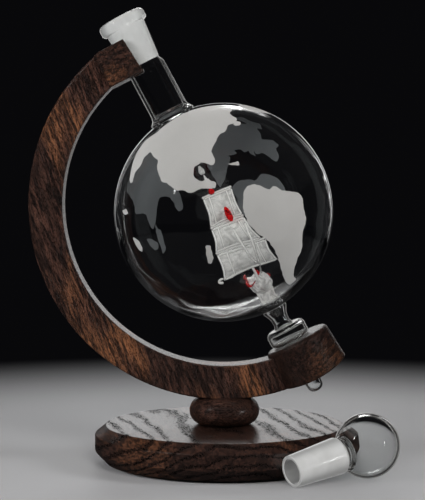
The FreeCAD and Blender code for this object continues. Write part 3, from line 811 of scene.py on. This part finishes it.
# Coasts as (east, north) degrees on the globe: north runs up the neck and east 0 faces the front.
LANDS = {
    "north_america": [
        (-30, 67), (-49, 66), (-54, 59), (-54, 52), (-52, 40), (-48, 39), (-47, 44), (-40, 47), (-38, 51),
        (-31, 53), (-27, 48), (-23, 44), (-25, 40), (-24, 35), (-23, 31), (-20, 29), (-17, 23.5),
        (-14.5, 22.5), (-9, 18), (-4, 18), (0, 16), (3, 14.5), (5, 17), (3, 19), (2, 21), (-2, 21),
        (-4, 24), (-4, 27), (-2, 30), (4, 30), (7, 26), (9, 26), (11, 29), (11, 33), (17, 37), (23, 40),
        (28, 40), (34, 43), (40, 42), (44, 44), (46, 50), (56, 52), (62, 57), (60, 63), (52, 69),
        (20, 74), (-10, 72),
    ],
    "newfoundland": [(37, 42), (41, 43), (43, 41), (40, 39), (37, 40)],
    "greenland": [(74, 54), (88, 50), (90, 42), (88, 35), (78, 37), (66, 42), (64, 48)],
    "cuba": [(15, 23), (18, 22), (21, 21), (20, 19), (17, 21)],
    "south_america": [
        (13, 4), (15, 7), (18, 8), (22, 7), (27, 1), (30, 2), (33, -2), (38, -5), (42, -7), (44, -10),
        (42, -16), (42, -22), (37, -27), (35, -36), (30, -40), (27, -46), (27, -51), (31, -54), (23, -56),
        (18, -49), (17, -38), (17, -30), (15, -21), (11, -15), (9, -8), (10, -1),
    ],
    "south_island": [(-15, -8), (-13, -9), (-14, -13), (-15, -16), (-18, -18), (-19, -17), (-17, -12)],
    "west_islands": [(-55, 12), (-51, 9), (-50, 5), (-52, 3), (-54, 5), (-55, 8)],
    "far_west_island": [(-62, 27), (-56, 27), (-54, 24), (-58, 24)],
    "eurasia": [
        (135, 45), (125, 38), (128, 29), (133, 26), (127, 23), (126, 18), (131, 17), (132, 11), (136, 9),
        (138, 13), (140, 18), (145, 19), (144, 23), (150, 23), (152, 27), (156, 28), (155, 25), (161, 27),
        (160, 25), (167, 19), (172, 14), (176, 11), (176, 17), (176, 23), (175, 28), (178, 32), (188, 32),
        (196, 27), (199, 22), (199, 18), (201, 11), (205, 11), (205, 18), (207, 21), (212, 23), (215, 19),
        (218, 15), (221, 12), (225, 9), (226, 13), (226, 18), (235, 21), (236, 28), (240, 33), (248, 38),
        (249, 46), (245, 56), (235, 64), (215, 68), (190, 70), (165, 66), (148, 57),
    ],
    "boot": [(147, 24), (144, 24), (142, 22), (145, 21), (146, 18), (148, 21)],
    "africa": [
        (170, 8), (164, 10), (160, 9), (155, 6), (150, 8), (145, 5), (141, 1), (140, -8), (143, -20),
        (151, -33), (161, -33), (168, -20), (172, -6), (170, 2),
    ],
    "north_isles": [(128, 52), (121, 46), (122, 39), (121, 34), (124, 31), (128, 34), (127, 42)],
    "sunda_islands": [(221, 12), (221, 8), (219, 7), (220, 1), (222, -5), (227, -7), (225, -2), (224, 5)],
    "spice_island": [(234, 6), (229, 4), (226, 1), (228, -2), (232, -2), (234, 2)],
}
COAST_STEP = math.radians(0.7)
FILL_STEP = math.radians(2.2)
COAST_SEED = 7


def on_sphere(east, north):
    """Unit vector of a place on the globe, in the glass frame."""
    e, n = math.radians(east), math.radians(north)
    return Vector((math.cos(n) * math.sin(e), -math.cos(n) * math.cos(e), math.sin(n)))


def softened(points, rounds=1):
    """A closed outline with its corners cut, round after round."""
    for _ in range(rounds):
        cut = []
        for here, following in zip(points, points[1:] + points[:1]):
            cut.append(here.lerp(following, 0.16).normalized())
            cut.append(here.lerp(following, 0.84).normalized())
        points = cut
    return points


def walked(points, step):
    """A closed outline with points no further apart than the step, and a little coastal unevenness."""
    walk = []
    for here, following in zip(points, points[1:] + points[:1]):
        count = max(1, math.ceil(here.angle(following) / step))
        for index in range(count):
            point = here.lerp(following, index / count).normalized()
            rough = noise.noise_vector(point * 26.0) * 0.007 + noise.noise_vector(point * 75.0) * 0.003
            walk.append((point + rough).normalized())
    return walk


def lies_inside(point, outline):
    """True if a flat point lies inside a closed flat outline."""
    x, y = point
    crossings = 0
    for (ax, ay), (bx, by) in zip(outline, outline[1:] + outline[:1]):
        if (ay > y) != (by > y) and x < (bx - ax) * (y - ay) / (by - ay) + ax:
            crossings += 1
    return crossings % 2 == 1


def land_patch(bm, coast):
    """One land as a thin closed shell just off the globe's skin."""
    outline = walked(softened([on_sphere(*place) for place in coast]), COAST_STEP)
    middle = sum(outline, Vector()).normalized()
    side = middle.orthogonal().normalized()
    other = middle.cross(side)

    def flatten(point):
        return (point.dot(side) / (1 + point.dot(middle)), point.dot(other) / (1 + point.dot(middle)))

    def lift(flat):
        u, v = flat
        reach = u * u + v * v
        return (side * 2 * u + other * 2 * v + middle * (1 - reach)) / (1 + reach)

    flats = [flatten(point) for point in outline]
    lows = np.array(flats).min(axis=0)
    highs = np.array(flats).max(axis=0)
    step = FILL_STEP / 2
    fills = []
    for row, v in enumerate(np.arange(lows[1], highs[1], step * 0.87)):
        for u in np.arange(lows[0] + (row % 2) * step / 2, highs[0], step):
            if lies_inside((u, v), flats):
                fills.append((u, v))
    edges = [(index, (index + 1) % len(flats)) for index in range(len(flats))]
    points, _, faces, _, _, _ = delaunay_2d_cdt(
        [Vector(flat) for flat in flats + fills], edges, [list(range(len(flats)))], 1, 1e-6
    )
    shells = []
    for height in (GLOBE_R + SKIN_GAP, GLOBE_R + SKIN_GAP + ETCH_THICK):
        shells.append([bm.verts.new(lift(flat) * height) for flat in points])
    rims = {}
    for face in faces:
        bm.faces.new([shells[1][index] for index in face])
        bm.faces.new([shells[0][index] for index in reversed(face)]).material_index = 1
        for here, following in zip(face, face[1:] + face[:1]):
            rims[(here, following)] = True
    for here, following in rims:
        if (following, here) not in rims:
            bm.faces.new([shells[1][following], shells[1][here], shells[0][here], shells[0][following]])


def etched_map():
    """All lands as one thin layer; its second finish is the side that lies on the globe."""
    noise.seed_set(COAST_SEED)
    bm = bmesh.new()
    for coast in LANDS.values():
        land_patch(bm, coast)
    layer = show(bm, "etched_map", GLASS, "vessel", ETCHED)
    layer.data.materials.append(BARE)


# ---- the glass ship


def corner_of(node, x_way, z_way):
    """The vertex of a node that lies furthest towards one corner, as (x, y, z) in the glass frame."""
    points = node_points(node, GLASS)
    return Vector(points[(points[:, 0] * x_way + points[:, 2] * z_way).argmax()])


def end_of(points, axis, way):
    """Middle of a rod's end: the points within a millimetre of its furthest reach along one axis."""
    reach = points[:, axis] * way
    return points[reach > reach.max() - 1.0].mean(axis=0)


def ship_glass(bm, node, finish=DRAWN, sharp_deg=50, place=GLASS):
    """Shows a piece of the ship, which turns with the vessel."""
    return show(bm, node, place, "vessel", finish, sharp_deg)


SCROLL_SHARE = 0.09
SAIL_COLUMNS = 44
SAIL_ROWS = 40
SAIL_EDGE_HALF = 0.12
THREAD_R = 0.8
THREAD_PROUD = 0.45
BATTEN_SHARE = 0.2
CURL_STEPS = 21


def sail_point(corners, u, v):
    """A place on the unbowed sail, u from left to right and v down, with its sides and foot cut hollow."""
    top_left, top_right, low_left, low_right = corners
    point = top_left.lerp(top_right, u).lerp(low_left.lerp(low_right, u), v)
    near_side = max(0.0, 1 - min(u, 1 - u) * 5)
    point.x += 1.1 * math.sin(math.pi * v) * (0.5 - u) * 2 * near_side
    point.z += 0.9 * math.sin(math.pi * u) * max(0.0, v - 0.8) * 5
    return point


def sail_half_thickness(u, v):
    """Half the sail's thickness: uneven, more along its rim, and thin at its very edge."""
    edge = min(u, 1 - u, v, 1 - v)
    if edge < 1e-9:
        return SAIL_EDGE_HALF
    return 0.34 + 0.294 * math.exp(-(edge / 0.035) ** 2) + 0.1 * noise.noise(Vector((u * 13, v * 11, 3.0)))


def rim_of(sheet):
    """The vertices round a sheet of rows, in order."""
    right = [line[-1] for line in sheet[:-1]]
    left = [line[0] for line in sheet[:0:-1]]
    return sheet[0][:-1] + right + sheet[-1][:0:-1] + left


def sail(node, scroll=False):
    """A bowed sail of pressed glass with threads melted on; a scroll is a curl at its lower left corner."""
    corners = [corner_of(node, x_way, z_way) for z_way in (1, -1) for x_way in (-1, 1)]
    if scroll:
        corners[2] = corners[2].lerp(corners[3], SCROLL_SHARE)
    depths = node_points(node, GLASS)[:, 1]
    back, belly = depths.max(), depths.max() - depths.min() - 0.8
    bm = bmesh.new()
    sheets = []
    for face_side in (-1, 1):
        sheet = []
        for v in np.linspace(0, 1, SAIL_ROWS + 1):
            line = []
            for u in np.linspace(0, 1, SAIL_COLUMNS + 1):
                point = sail_point(corners, u, v)
                bow = belly * max(0.0, math.sin(math.pi * v)) ** 0.8 * (0.72 + 0.28 * math.sin(math.pi * u))
                fold = 0.12 * noise.noise(Vector((u * 7, v * 6, len(node))))
                point.y = back - 0.55 - bow + fold + face_side * sail_half_thickness(u, v)
                line.append(bm.verts.new(point))
            sheet.append(line)
        sheets.append(sheet)
    for sheet in sheets:
        for above, below in zip(sheet, sheet[1:]):
            for column in range(SAIL_COLUMNS):
                bm.faces.new([above[column], above[column + 1], below[column + 1], below[column]])
    skin_rings(bm, [rim_of(sheet) for sheet in sheets], closed=False)
    plate_faces = len(bm.faces)
    for line in sail_threads(sheets[0]):
        swept(line, lambda share, angle: THREAD_R * bead(share, 0.02), 16, bm)
    bm.faces.ensure_lookup_table()
    for face in bm.faces[plate_faces:]:
        face.material_index = 1
    if scroll:
        curl = foot_curl(corners[2])
        swept(curl, lambda share, angle: 0.95 * (1 - 0.35 * share) * bead(share), 16, bm)
    plate = ship_glass(bm, node, SAIL_GLASS)
    plate.data.materials.append(DRAWN)


def sail_threads(front):
    """Lines just in front of a sail's four edges and its two battens, where glass threads are melted on."""
    inset = 1
    batten = round(SAIL_COLUMNS * BATTEN_SHARE)
    lines = []
    for column in (inset, batten, SAIL_COLUMNS - batten, SAIL_COLUMNS - inset):
        lines.append([(row, column) for row in range(inset, SAIL_ROWS)])
    for row in (inset, SAIL_ROWS - inset):
        lines.append([(row, column) for column in range(inset, SAIL_COLUMNS)])
    proud = Vector((0, -THREAD_PROUD, 0))
    return [[front[row][column].co + proud for row, column in line] for line in lines]


def foot_curl(corner):
    """The path of the curl beside a sail's lower corner, winding inwards."""
    curl = []
    for index in range(CURL_STEPS + 1):
        turn = index / CURL_STEPS
        angle = math.radians(-10 + 250 * turn)
        reach = 2.3 * (1 - 0.35 * turn)
        out, up = reach * math.sin(angle), reach * (1 - math.cos(angle)) * 0.7
        curl.append(corner + Vector((-1.2 - out, -0.6, -0.4 + up)))
    return curl


def hull_line(share, keys):
    """Smooth value along the hull from evenly spaced keys, bow to stern."""
    place = share * (len(keys) - 1)
    index = min(int(place), len(keys) - 2)
    t = place - index
    before = keys[max(index - 1, 0)]
    here, ahead = keys[index], keys[index + 1]
    beyond = keys[min(index + 2, len(keys) - 1)]
    bend = (2 * here + (ahead - before) * t + (2 * before - 5 * here + 4 * ahead - beyond) * t * t
            + (3 * here - before - 3 * ahead + beyond) * t ** 3)
    return bend / 2


def evened(path, rounds=6):
    """A path with its small kinks smoothed out; its ends stay where they are."""
    for _ in range(rounds):
        path = [path[0]] + [(a + b * 2 + c) / 4 for a, b, c in zip(path, path[1:], path[2:])] + [path[-1]]
    return path


HULL_STATIONS = 60
BILGE_STEPS = 40
DECK_STEPS = 16
TRIM_STEPS = 90


def ship_hull():
    """Round-bilged hull with raised strakes and a dished deck."""
    points = node_points("ship_hull", SHIP)
    bow, stern = points[:, 1].min(), points[:, 1].max()
    keel, rail = points[:, 2].min(), points[:, 2].max()
    half = points[:, 0].max()
    breadths = [0.13, 0.64, 0.92, 0.99, 1.0, 0.84, 0.6]
    keels = [0.69, 0.18, 0.03, 0.0, 0.0, 0.13, 0.47]
    rails = [1.0, 0.74, 0.58, 0.53, 0.53, 0.62, 0.84]
    bm = bmesh.new()
    rings = []
    for station in range(HULL_STATIONS + 1):
        share = station / HULL_STATIONS
        y = bow + (stern - bow) * share
        breadth = half * hull_line(share, breadths)
        bottom = keel + (rail - keel) * hull_line(share, keels)
        top = keel + (rail - keel) * hull_line(share, rails)
        ring = []
        for step in range(BILGE_STEPS + 1):
            angle = math.pi * step / BILGE_STEPS
            strake = 1 + 0.035 * math.cos(9 * angle)
            x = -breadth * math.copysign(abs(math.cos(angle)) ** 0.85, math.cos(angle)) * strake
            z = top - (top - bottom) * abs(math.sin(angle)) ** 0.8
            ring.append(bm.verts.new((x, y, z)))
        for step in range(1, DECK_STEPS):
            across = step / DECK_STEPS
            x = breadth * (1 - 2 * across) * 0.96
            ring.append(bm.verts.new((x, y, top - 0.9 * math.sin(math.pi * across))))
        rings.append(ring)
    deck, lowest = 0, BILGE_STEPS // 2
    start_z = rings[0][lowest].co.z * 0.4 + rings[0][deck].co.z * 0.6
    end_z = (rings[-1][deck].co.z + rings[-1][lowest].co.z) / 2
    start = [bm.verts.new((0, bow - 0.15, start_z))]
    end = [bm.verts.new((0, stern - 0.2, end_z))]
    skin_rings(bm, [start] + rings + [end], closed=False)
    ship_glass(bm, "ship_hull", HULL_GLASS, sharp_deg=60, place=SHIP)


def cord(share, angle):
    """Radius of a twisted cord that thins towards the bow."""
    return (0.95 + 0.3 * math.cos(2 * angle - 110 * share)) * bead(share, 0.02) * min(1.0, 0.4 + 1.6 * share)


def hull_trim():
    """Twisted red cords along both gunwales."""
    points = node_points("hull_trim", SHIP)
    bm = bmesh.new()
    for side in (-1, 1):
        rail = points[points[:, 0] * side > 0]
        path = []
        for y in np.linspace(rail[:, 1].min(), rail[:, 1].max(), TRIM_STEPS):
            near = rail[np.abs(rail[:, 1] - y) < 2.2]
            path.append(Vector((near[:, 0].mean(), y, near[:, 2].mean() + 0.15)))
        swept(evened(path), cord, 20, bm)
    ship_glass(bm, "hull_trim", RED, 70, SHIP)


def spar(ends, radius, swell=0.25):
    """A drawn glass spar with melted round ends."""
    path = between(*ends, 40)

    def radius_at(share, _):
        knob = 0.35 * math.exp(-((min(share, 1 - share) / 0.035) ** 2))
        wave = 1 + 0.06 * math.sin(share * 37) + swell * math.sin(math.pi * share) + knob
        return radius * wave * bead(share, 0.03)

    return swept(path, radius_at, 24)


def yards():
    """The three spars that the sails hang from."""
    for node in ("upper_yard", "middle_yard", "lower_yard"):
        points = node_points(node, GLASS)
        ship_glass(spar((end_of(points, 0, -1), end_of(points, 0, 1)), 0.78), node)


STAY_SLICE = 1.2
STAY_R = 0.95
STAY_STEPS = 40


def fore_stays():
    """The two bowed rods in front of the sails, each along the middle of its CAD rod."""
    points = node_points("fore_stays", GLASS)
    high, low = points[:, 2].max() - STAY_SLICE, points[:, 2].min() + STAY_SLICE
    bm = bmesh.new()
    for side in (-1, 1):
        path = []
        for height in np.linspace(high, low, STAY_STEPS):
            near = points[np.abs(points[:, 2] - height) < STAY_SLICE]
            rod = near[(near[:, 0] - near[:, 0].mean()) * side > 0]
            path.append(Vector(rod.mean(axis=0)))
        swept(evened(path), lambda share, angle: STAY_R * bead(share, 0.03), 20, bm)
    ship_glass(bm, "fore_stays")


def main_mast():
    """The mast, on the glass axis."""
    low, high, radius = turned_span("main_mast", GLASS)
    ship_glass(spar(((0, 0, low + 0.4), (0, 0, high - 0.4)), radius * 0.85, 0.15), "main_mast")


def bowsprit():
    """A short rod at the bow, thinner towards its tip."""
    points = node_points("bowsprit", SHIP)
    path = between(end_of(points, 1, 1), end_of(points, 1, -1), 30)
    rod = swept(path, lambda share, angle: (0.95 - 0.4 * share) * bead(share, 0.05), 20)
    ship_glass(rod, "bowsprit", place=SHIP)


def mast_finial():
    """A pointed bead on top of the mast."""
    low, high, radius = turned_span("mast_finial", GLASS)
    outline = rounded([
        (0, low + 0.05, 0),
        (1.5, low + 0.05, 0.7),
        (radius, low + 2.3, 1.3),
        (1.3, low + 4.4, 0.8),
        (0.6, high, 0.5),
        (0, high, 0),
    ])
    ship_glass(turned(outline, 64), "mast_finial", SAIL_GLASS)


def leaf(node, finish):
    """A pinched drop of red glass."""
    points = node_points(node, GLASS)
    low, high = Vector(points.min(axis=0)), Vector(points.max(axis=0))
    centre, half = (low + high) / 2, (high - low) / 2
    bm = bmesh.new()
    bmesh.ops.create_icosphere(bm, subdivisions=5, radius=1.0)
    for vertex in bm.verts:
        x, y, z = vertex.co
        pinch = 1 - 0.25 * z
        lump = 1 + 0.09 * noise.noise(vertex.co * 2.3 + centre)
        vertex.co = centre + Vector((x * half.x * pinch * lump, y * half.y * lump, z * half.z))
    ship_glass(bm, node, finish, 180)


def ship_pedestal():
    """Hollow drawn stalk with a spiral of soft ridges."""
    _, high, radius = turned_span("ship_pedestal", GLASS)
    floor = GLOBE_R - wall_at(math.pi) - 0.15
    foot_r = radius + 0.6
    base = -math.sqrt(floor ** 2 - foot_r ** 2)
    outline = rounded([
        (foot_r, base, 0),
        (radius - 0.5, base + 2.6, 2.0),
        (radius - 0.2, high - 2.0, 1.0),
        (radius - 0.9, high + 0.4, 0.5),
        (radius - 2.4, high + 0.4, 0.5),
        (radius - 2.0, base + 2.6, 2.0),
        (foot_r - 2.2, base - 0.35, 0),
    ])

    def spiral(angle, _, height):
        return 0.22 * math.sin(5 * angle + height * 0.9) + 0.1 * math.sin(3 * angle - height * 1.7)

    ship_glass(turned(outline, 160, spiral), "ship_pedestal", HULL_GLASS)


# ---- the stopper


def stopper_cone():
    """Ground cone, open at its tip."""
    low, high, radius = turned_span("stopper_cone", STOPPER)
    tip_r = radius - 1.8
    outline = rounded([
        (tip_r - 2.4, low, 1.0),
        (tip_r, low, 0.7),
        (radius, high - 1.2, 1.6),
        (radius - 1.0, high - 0.02, 0),
        (radius - 3.2, high - 0.02, 0),
    ])
    bm = mark_bore(turned(outline), tip_r - 2.4, low, radius - 3.2, high)
    cone = show(bm, "stopper_cone", STOPPER, "stopper", FROSTED)
    # The bore takes the frosted glass with painted shade.
    cone.data.materials.append(SHADED_BORE)


def stopper_collar():
    """Waist of clear glass between cone and ball."""
    low, _, radius = turned_span("stopper_collar", STOPPER)
    ball_r = turned_span("stopper_ball", STOPPER)[2] + SKIN_GAP
    outline = rounded([
        (radius - 3.2, low + 0.02, 0),
        (radius - 0.9, low + 0.02, 0),
        (radius - 1.4, low + 2.0, 1.0),
        (radius, -math.sqrt(ball_r ** 2 - radius ** 2) - 0.6, 0.4),
        (radius - 0.3, -math.sqrt(ball_r ** 2 - (radius - 0.3) ** 2), 0),
        (radius - 3.2, -math.sqrt(ball_r ** 2 - (radius - 3.2) ** 2), 0),
    ])
    show(turned(outline), "stopper_collar", STOPPER, "stopper", PAINTED_RIM_GLASS)


def stopper_ball():
    """Blown ball with a wall that gathers towards the cone."""
    ball_r = turned_span("stopper_ball", STOPPER)[2]
    polars = np.linspace(0, math.pi, 73)
    skin = [(ball_r * math.sin(polar), ball_r * math.cos(polar)) for polar in polars]
    hollow = []
    for polar in polars:
        radius = ball_r - 1.7 - 1.6 * math.exp(-(((math.pi - polar) / math.radians(40)) ** 2))
        hollow.append((radius * math.sin(polar), radius * math.cos(polar)))
    bm = hollowed(turned(skin, closed=False), turned(hollow, closed=False))
    show(bm, "stopper_ball", STOPPER, "stopper", PAINTED_RIM_GLASS, outward=False)


# ---- stage, light and camera


FLOOR_R = 1.1
# Painted fall-off of light: the floor keeps its pale paint to the first radius and is backdrop dark by the
# second.
FLOOR_PAINTED_LIGHT_R = 0.27
FLOOR_PAINTED_DARK_R = 0.6
FLOOR_MIRRORED_PAINTED_SHADE = 0.93
BACKDROP = (0.0025, 0.0025, 0.003)


def pale_floor():
    """Plain pale floor, softly fading into the backdrop as painted fall-off of light; painted shade where it
    is mirrored.
    """
    bm = bmesh.new()
    bmesh.ops.create_circle(bm, cap_ends=True, segments=96, radius=FLOOR_R)
    mesh = bpy.data.meshes.new("floor")
    bm.to_mesh(mesh)
    bm.free()
    floor = bpy.data.objects.new("floor", mesh)
    floor.location.z = cad_box[0].z - 0.0002
    bpy.context.scene.collection.objects.link(floor)
    made, tree = material("pale_floor")
    coords = object_coords(tree)
    away = length_of(tree, coords)
    grain = noise_value(tree, coords, 900.0, 2.0)
    colour = mix_colour(tree, grain, (0.36, 0.36, 0.37), (0.4, 0.4, 0.41))
    paint = principled(tree, {"Base Color": colour, "Roughness": 0.5, "Specular IOR Level": 0.12})
    # Painted shade: the floor turns to this dark glow far out and where a surface mirrors it.
    dark = add(tree, "ShaderNodeEmission", {"Color": (*BACKDROP, 1)}).outputs[0]
    mirrored = add(tree, "ShaderNodeLightPath").outputs["Glossy Depth"]
    mirrored = ramp(tree, mirrored, 0.0, 1.0, 0.0, FLOOR_MIRRORED_PAINTED_SHADE)
    painted_dark_share = maths(tree, "MAXIMUM", ramp(tree, away, FLOOR_PAINTED_LIGHT_R, FLOOR_PAINTED_DARK_R), mirrored)
    surface(tree, mix_shader(tree, painted_dark_share, paint, dark))
    mesh.materials.append(made)


def backdrop():
    """Plain dark grey surroundings for the camera, softly lit grey for the object."""
    world = bpy.data.worlds.new("studio")
    bpy.context.scene.world = world
    world.use_nodes = True
    tree = world.node_tree
    tree.nodes.clear()
    path = add(tree, "ShaderNodeLightPath").outputs
    seen = maths(tree, "MAXIMUM", path["Is Camera Ray"], path["Is Transmission Ray"])
    dark = add(tree, "ShaderNodeBackground", {"Color": (*BACKDROP, 1), "Strength": 1.0}).outputs[0]
    soft = add(tree, "ShaderNodeBackground", {"Color": (0.02, 0.02, 0.021, 1), "Strength": 1.0}).outputs[0]
    add(tree, "ShaderNodeOutputWorld", {"Surface": mix_shader(tree, seen, soft, dark)})


def soft_light(name, place, aim, size, power, tint=(1, 1, 1), mirrored=True, refracted=False):
    """A rectangular soft light that fades towards its edges; the camera never sees it directly."""
    lamp = bpy.data.lights.new(name, "AREA")
    lamp.shape = "RECTANGLE"
    lamp.size, lamp.size_y = size
    lamp.energy = power
    lamp.color = tint
    lamp.use_nodes = True
    tree = lamp.node_tree
    tree.nodes.clear()
    spot = add(tree, "ShaderNodeNewGeometry").outputs["Parametric"]
    spot = add(tree, "ShaderNodeSeparateXYZ", {0: spot}).outputs
    edges = [ramp(tree, off_middle(tree, spot[side]), 0.12, 0.5, 1.0, 0.0) for side in ("X", "Y")]
    glow = add(tree, "ShaderNodeEmission", {"Strength": maths(tree, "MULTIPLY", *edges)}).outputs[0]
    add(tree, "ShaderNodeOutputLight", {"Surface": glow})
    obj = bpy.data.objects.new(name, lamp)
    obj.location = place
    obj.rotation_euler = (Vector(aim) - Vector(place)).to_track_quat("-Z", "Y").to_euler()
    obj.visible_camera = False
    obj.visible_transmission = refracted
    obj.visible_glossy = mirrored
    bpy.context.scene.collection.objects.link(obj)


def lights():
    """Soft lights: edge strips and panels behind the object, two small glints, and three broad fills."""
    low, high = cad_box
    middle = (low + high) / 2
    soft_light("left_strip", (-0.5, 1.15, 0.3), middle, (0.06, 1.0), 0.16, refracted=True)
    soft_light("right_strip", (0.52, 1.1, 0.3), middle, (0.08, 0.9), 0.35, refracted=True)
    soft_light("top_box", (-0.1, 1.0, 0.8), middle, (0.9, 0.25), 5.4, refracted=True)
    soft_light("back_panel", (0.0, 1.2, 0.27), (0, 0, 0.1), (1.0, 0.4), 1.85)
    soft_light("left_glint", (-1.0, -0.75, 0.75), middle, (0.1, 0.4), 3.0)
    soft_light("right_glint", (1.0, -0.6, 0.24), middle, (0.07, 0.34), 2.4)
    soft_light("side_fill", (-1.0, -0.5, 0.5), middle, (0.7, 0.7), 26.0, mirrored=False)
    soft_light("right_fill", (1.0, -0.3, 0.6), middle, (0.5, 0.5), 17.0, mirrored=False)
    soft_light("front_fill", (0.25, -1.3, 0.9), middle, (0.9, 0.7), 34.0, (1.0, 0.98, 0.95), False)


CAMERA_PLACE = (-0.008, -1.170, 0.2122)
CAMERA_AIM = (-0.008, 0.0, 0.1427)


def camera():
    """The camera looks slightly down on the object from in front."""
    lens = bpy.data.cameras.new("camera")
    lens.lens = 126.0
    lens.sensor_width = 36.0
    obj = bpy.data.objects.new("camera", lens)
    obj.location = CAMERA_PLACE
    obj.rotation_euler = (Vector(CAMERA_AIM) - Vector(CAMERA_PLACE)).to_track_quat("-Z", "Y").to_euler()
    bpy.context.scene.collection.objects.link(obj)
    bpy.context.scene.camera = obj


def light_paths():
    """Enough bounces for a globe, a ship and a far wall seen one through the other."""
    cycles = bpy.context.scene.cycles
    cycles.max_bounces = 24
    cycles.transmission_bounces = 24
    cycles.transparent_max_bounces = 24
    bpy.context.scene.view_settings.view_transform = "Standard"


def main():
    dress_cad_nodes()
    globe_bulb()
    neck_tube()
    ground_socket()
    foot_stem()
    foot_flange()
    foot_pin()
    etched_map()
    sail("top_sail")
    sail("middle_sail")
    sail("lower_sail", scroll=True)
    ship_hull()
    hull_trim()
    yards()
    fore_stays()
    main_mast()
    bowsprit()
    mast_finial()
    leaf("masthead_flag", RED)
    leaf("sail_pennant", RED)
    ship_pedestal()
    stopper_cone()
    stopper_collar()
    stopper_ball()
    pale_floor()
    backdrop()
    lights()
    camera()
    light_paths()


main()
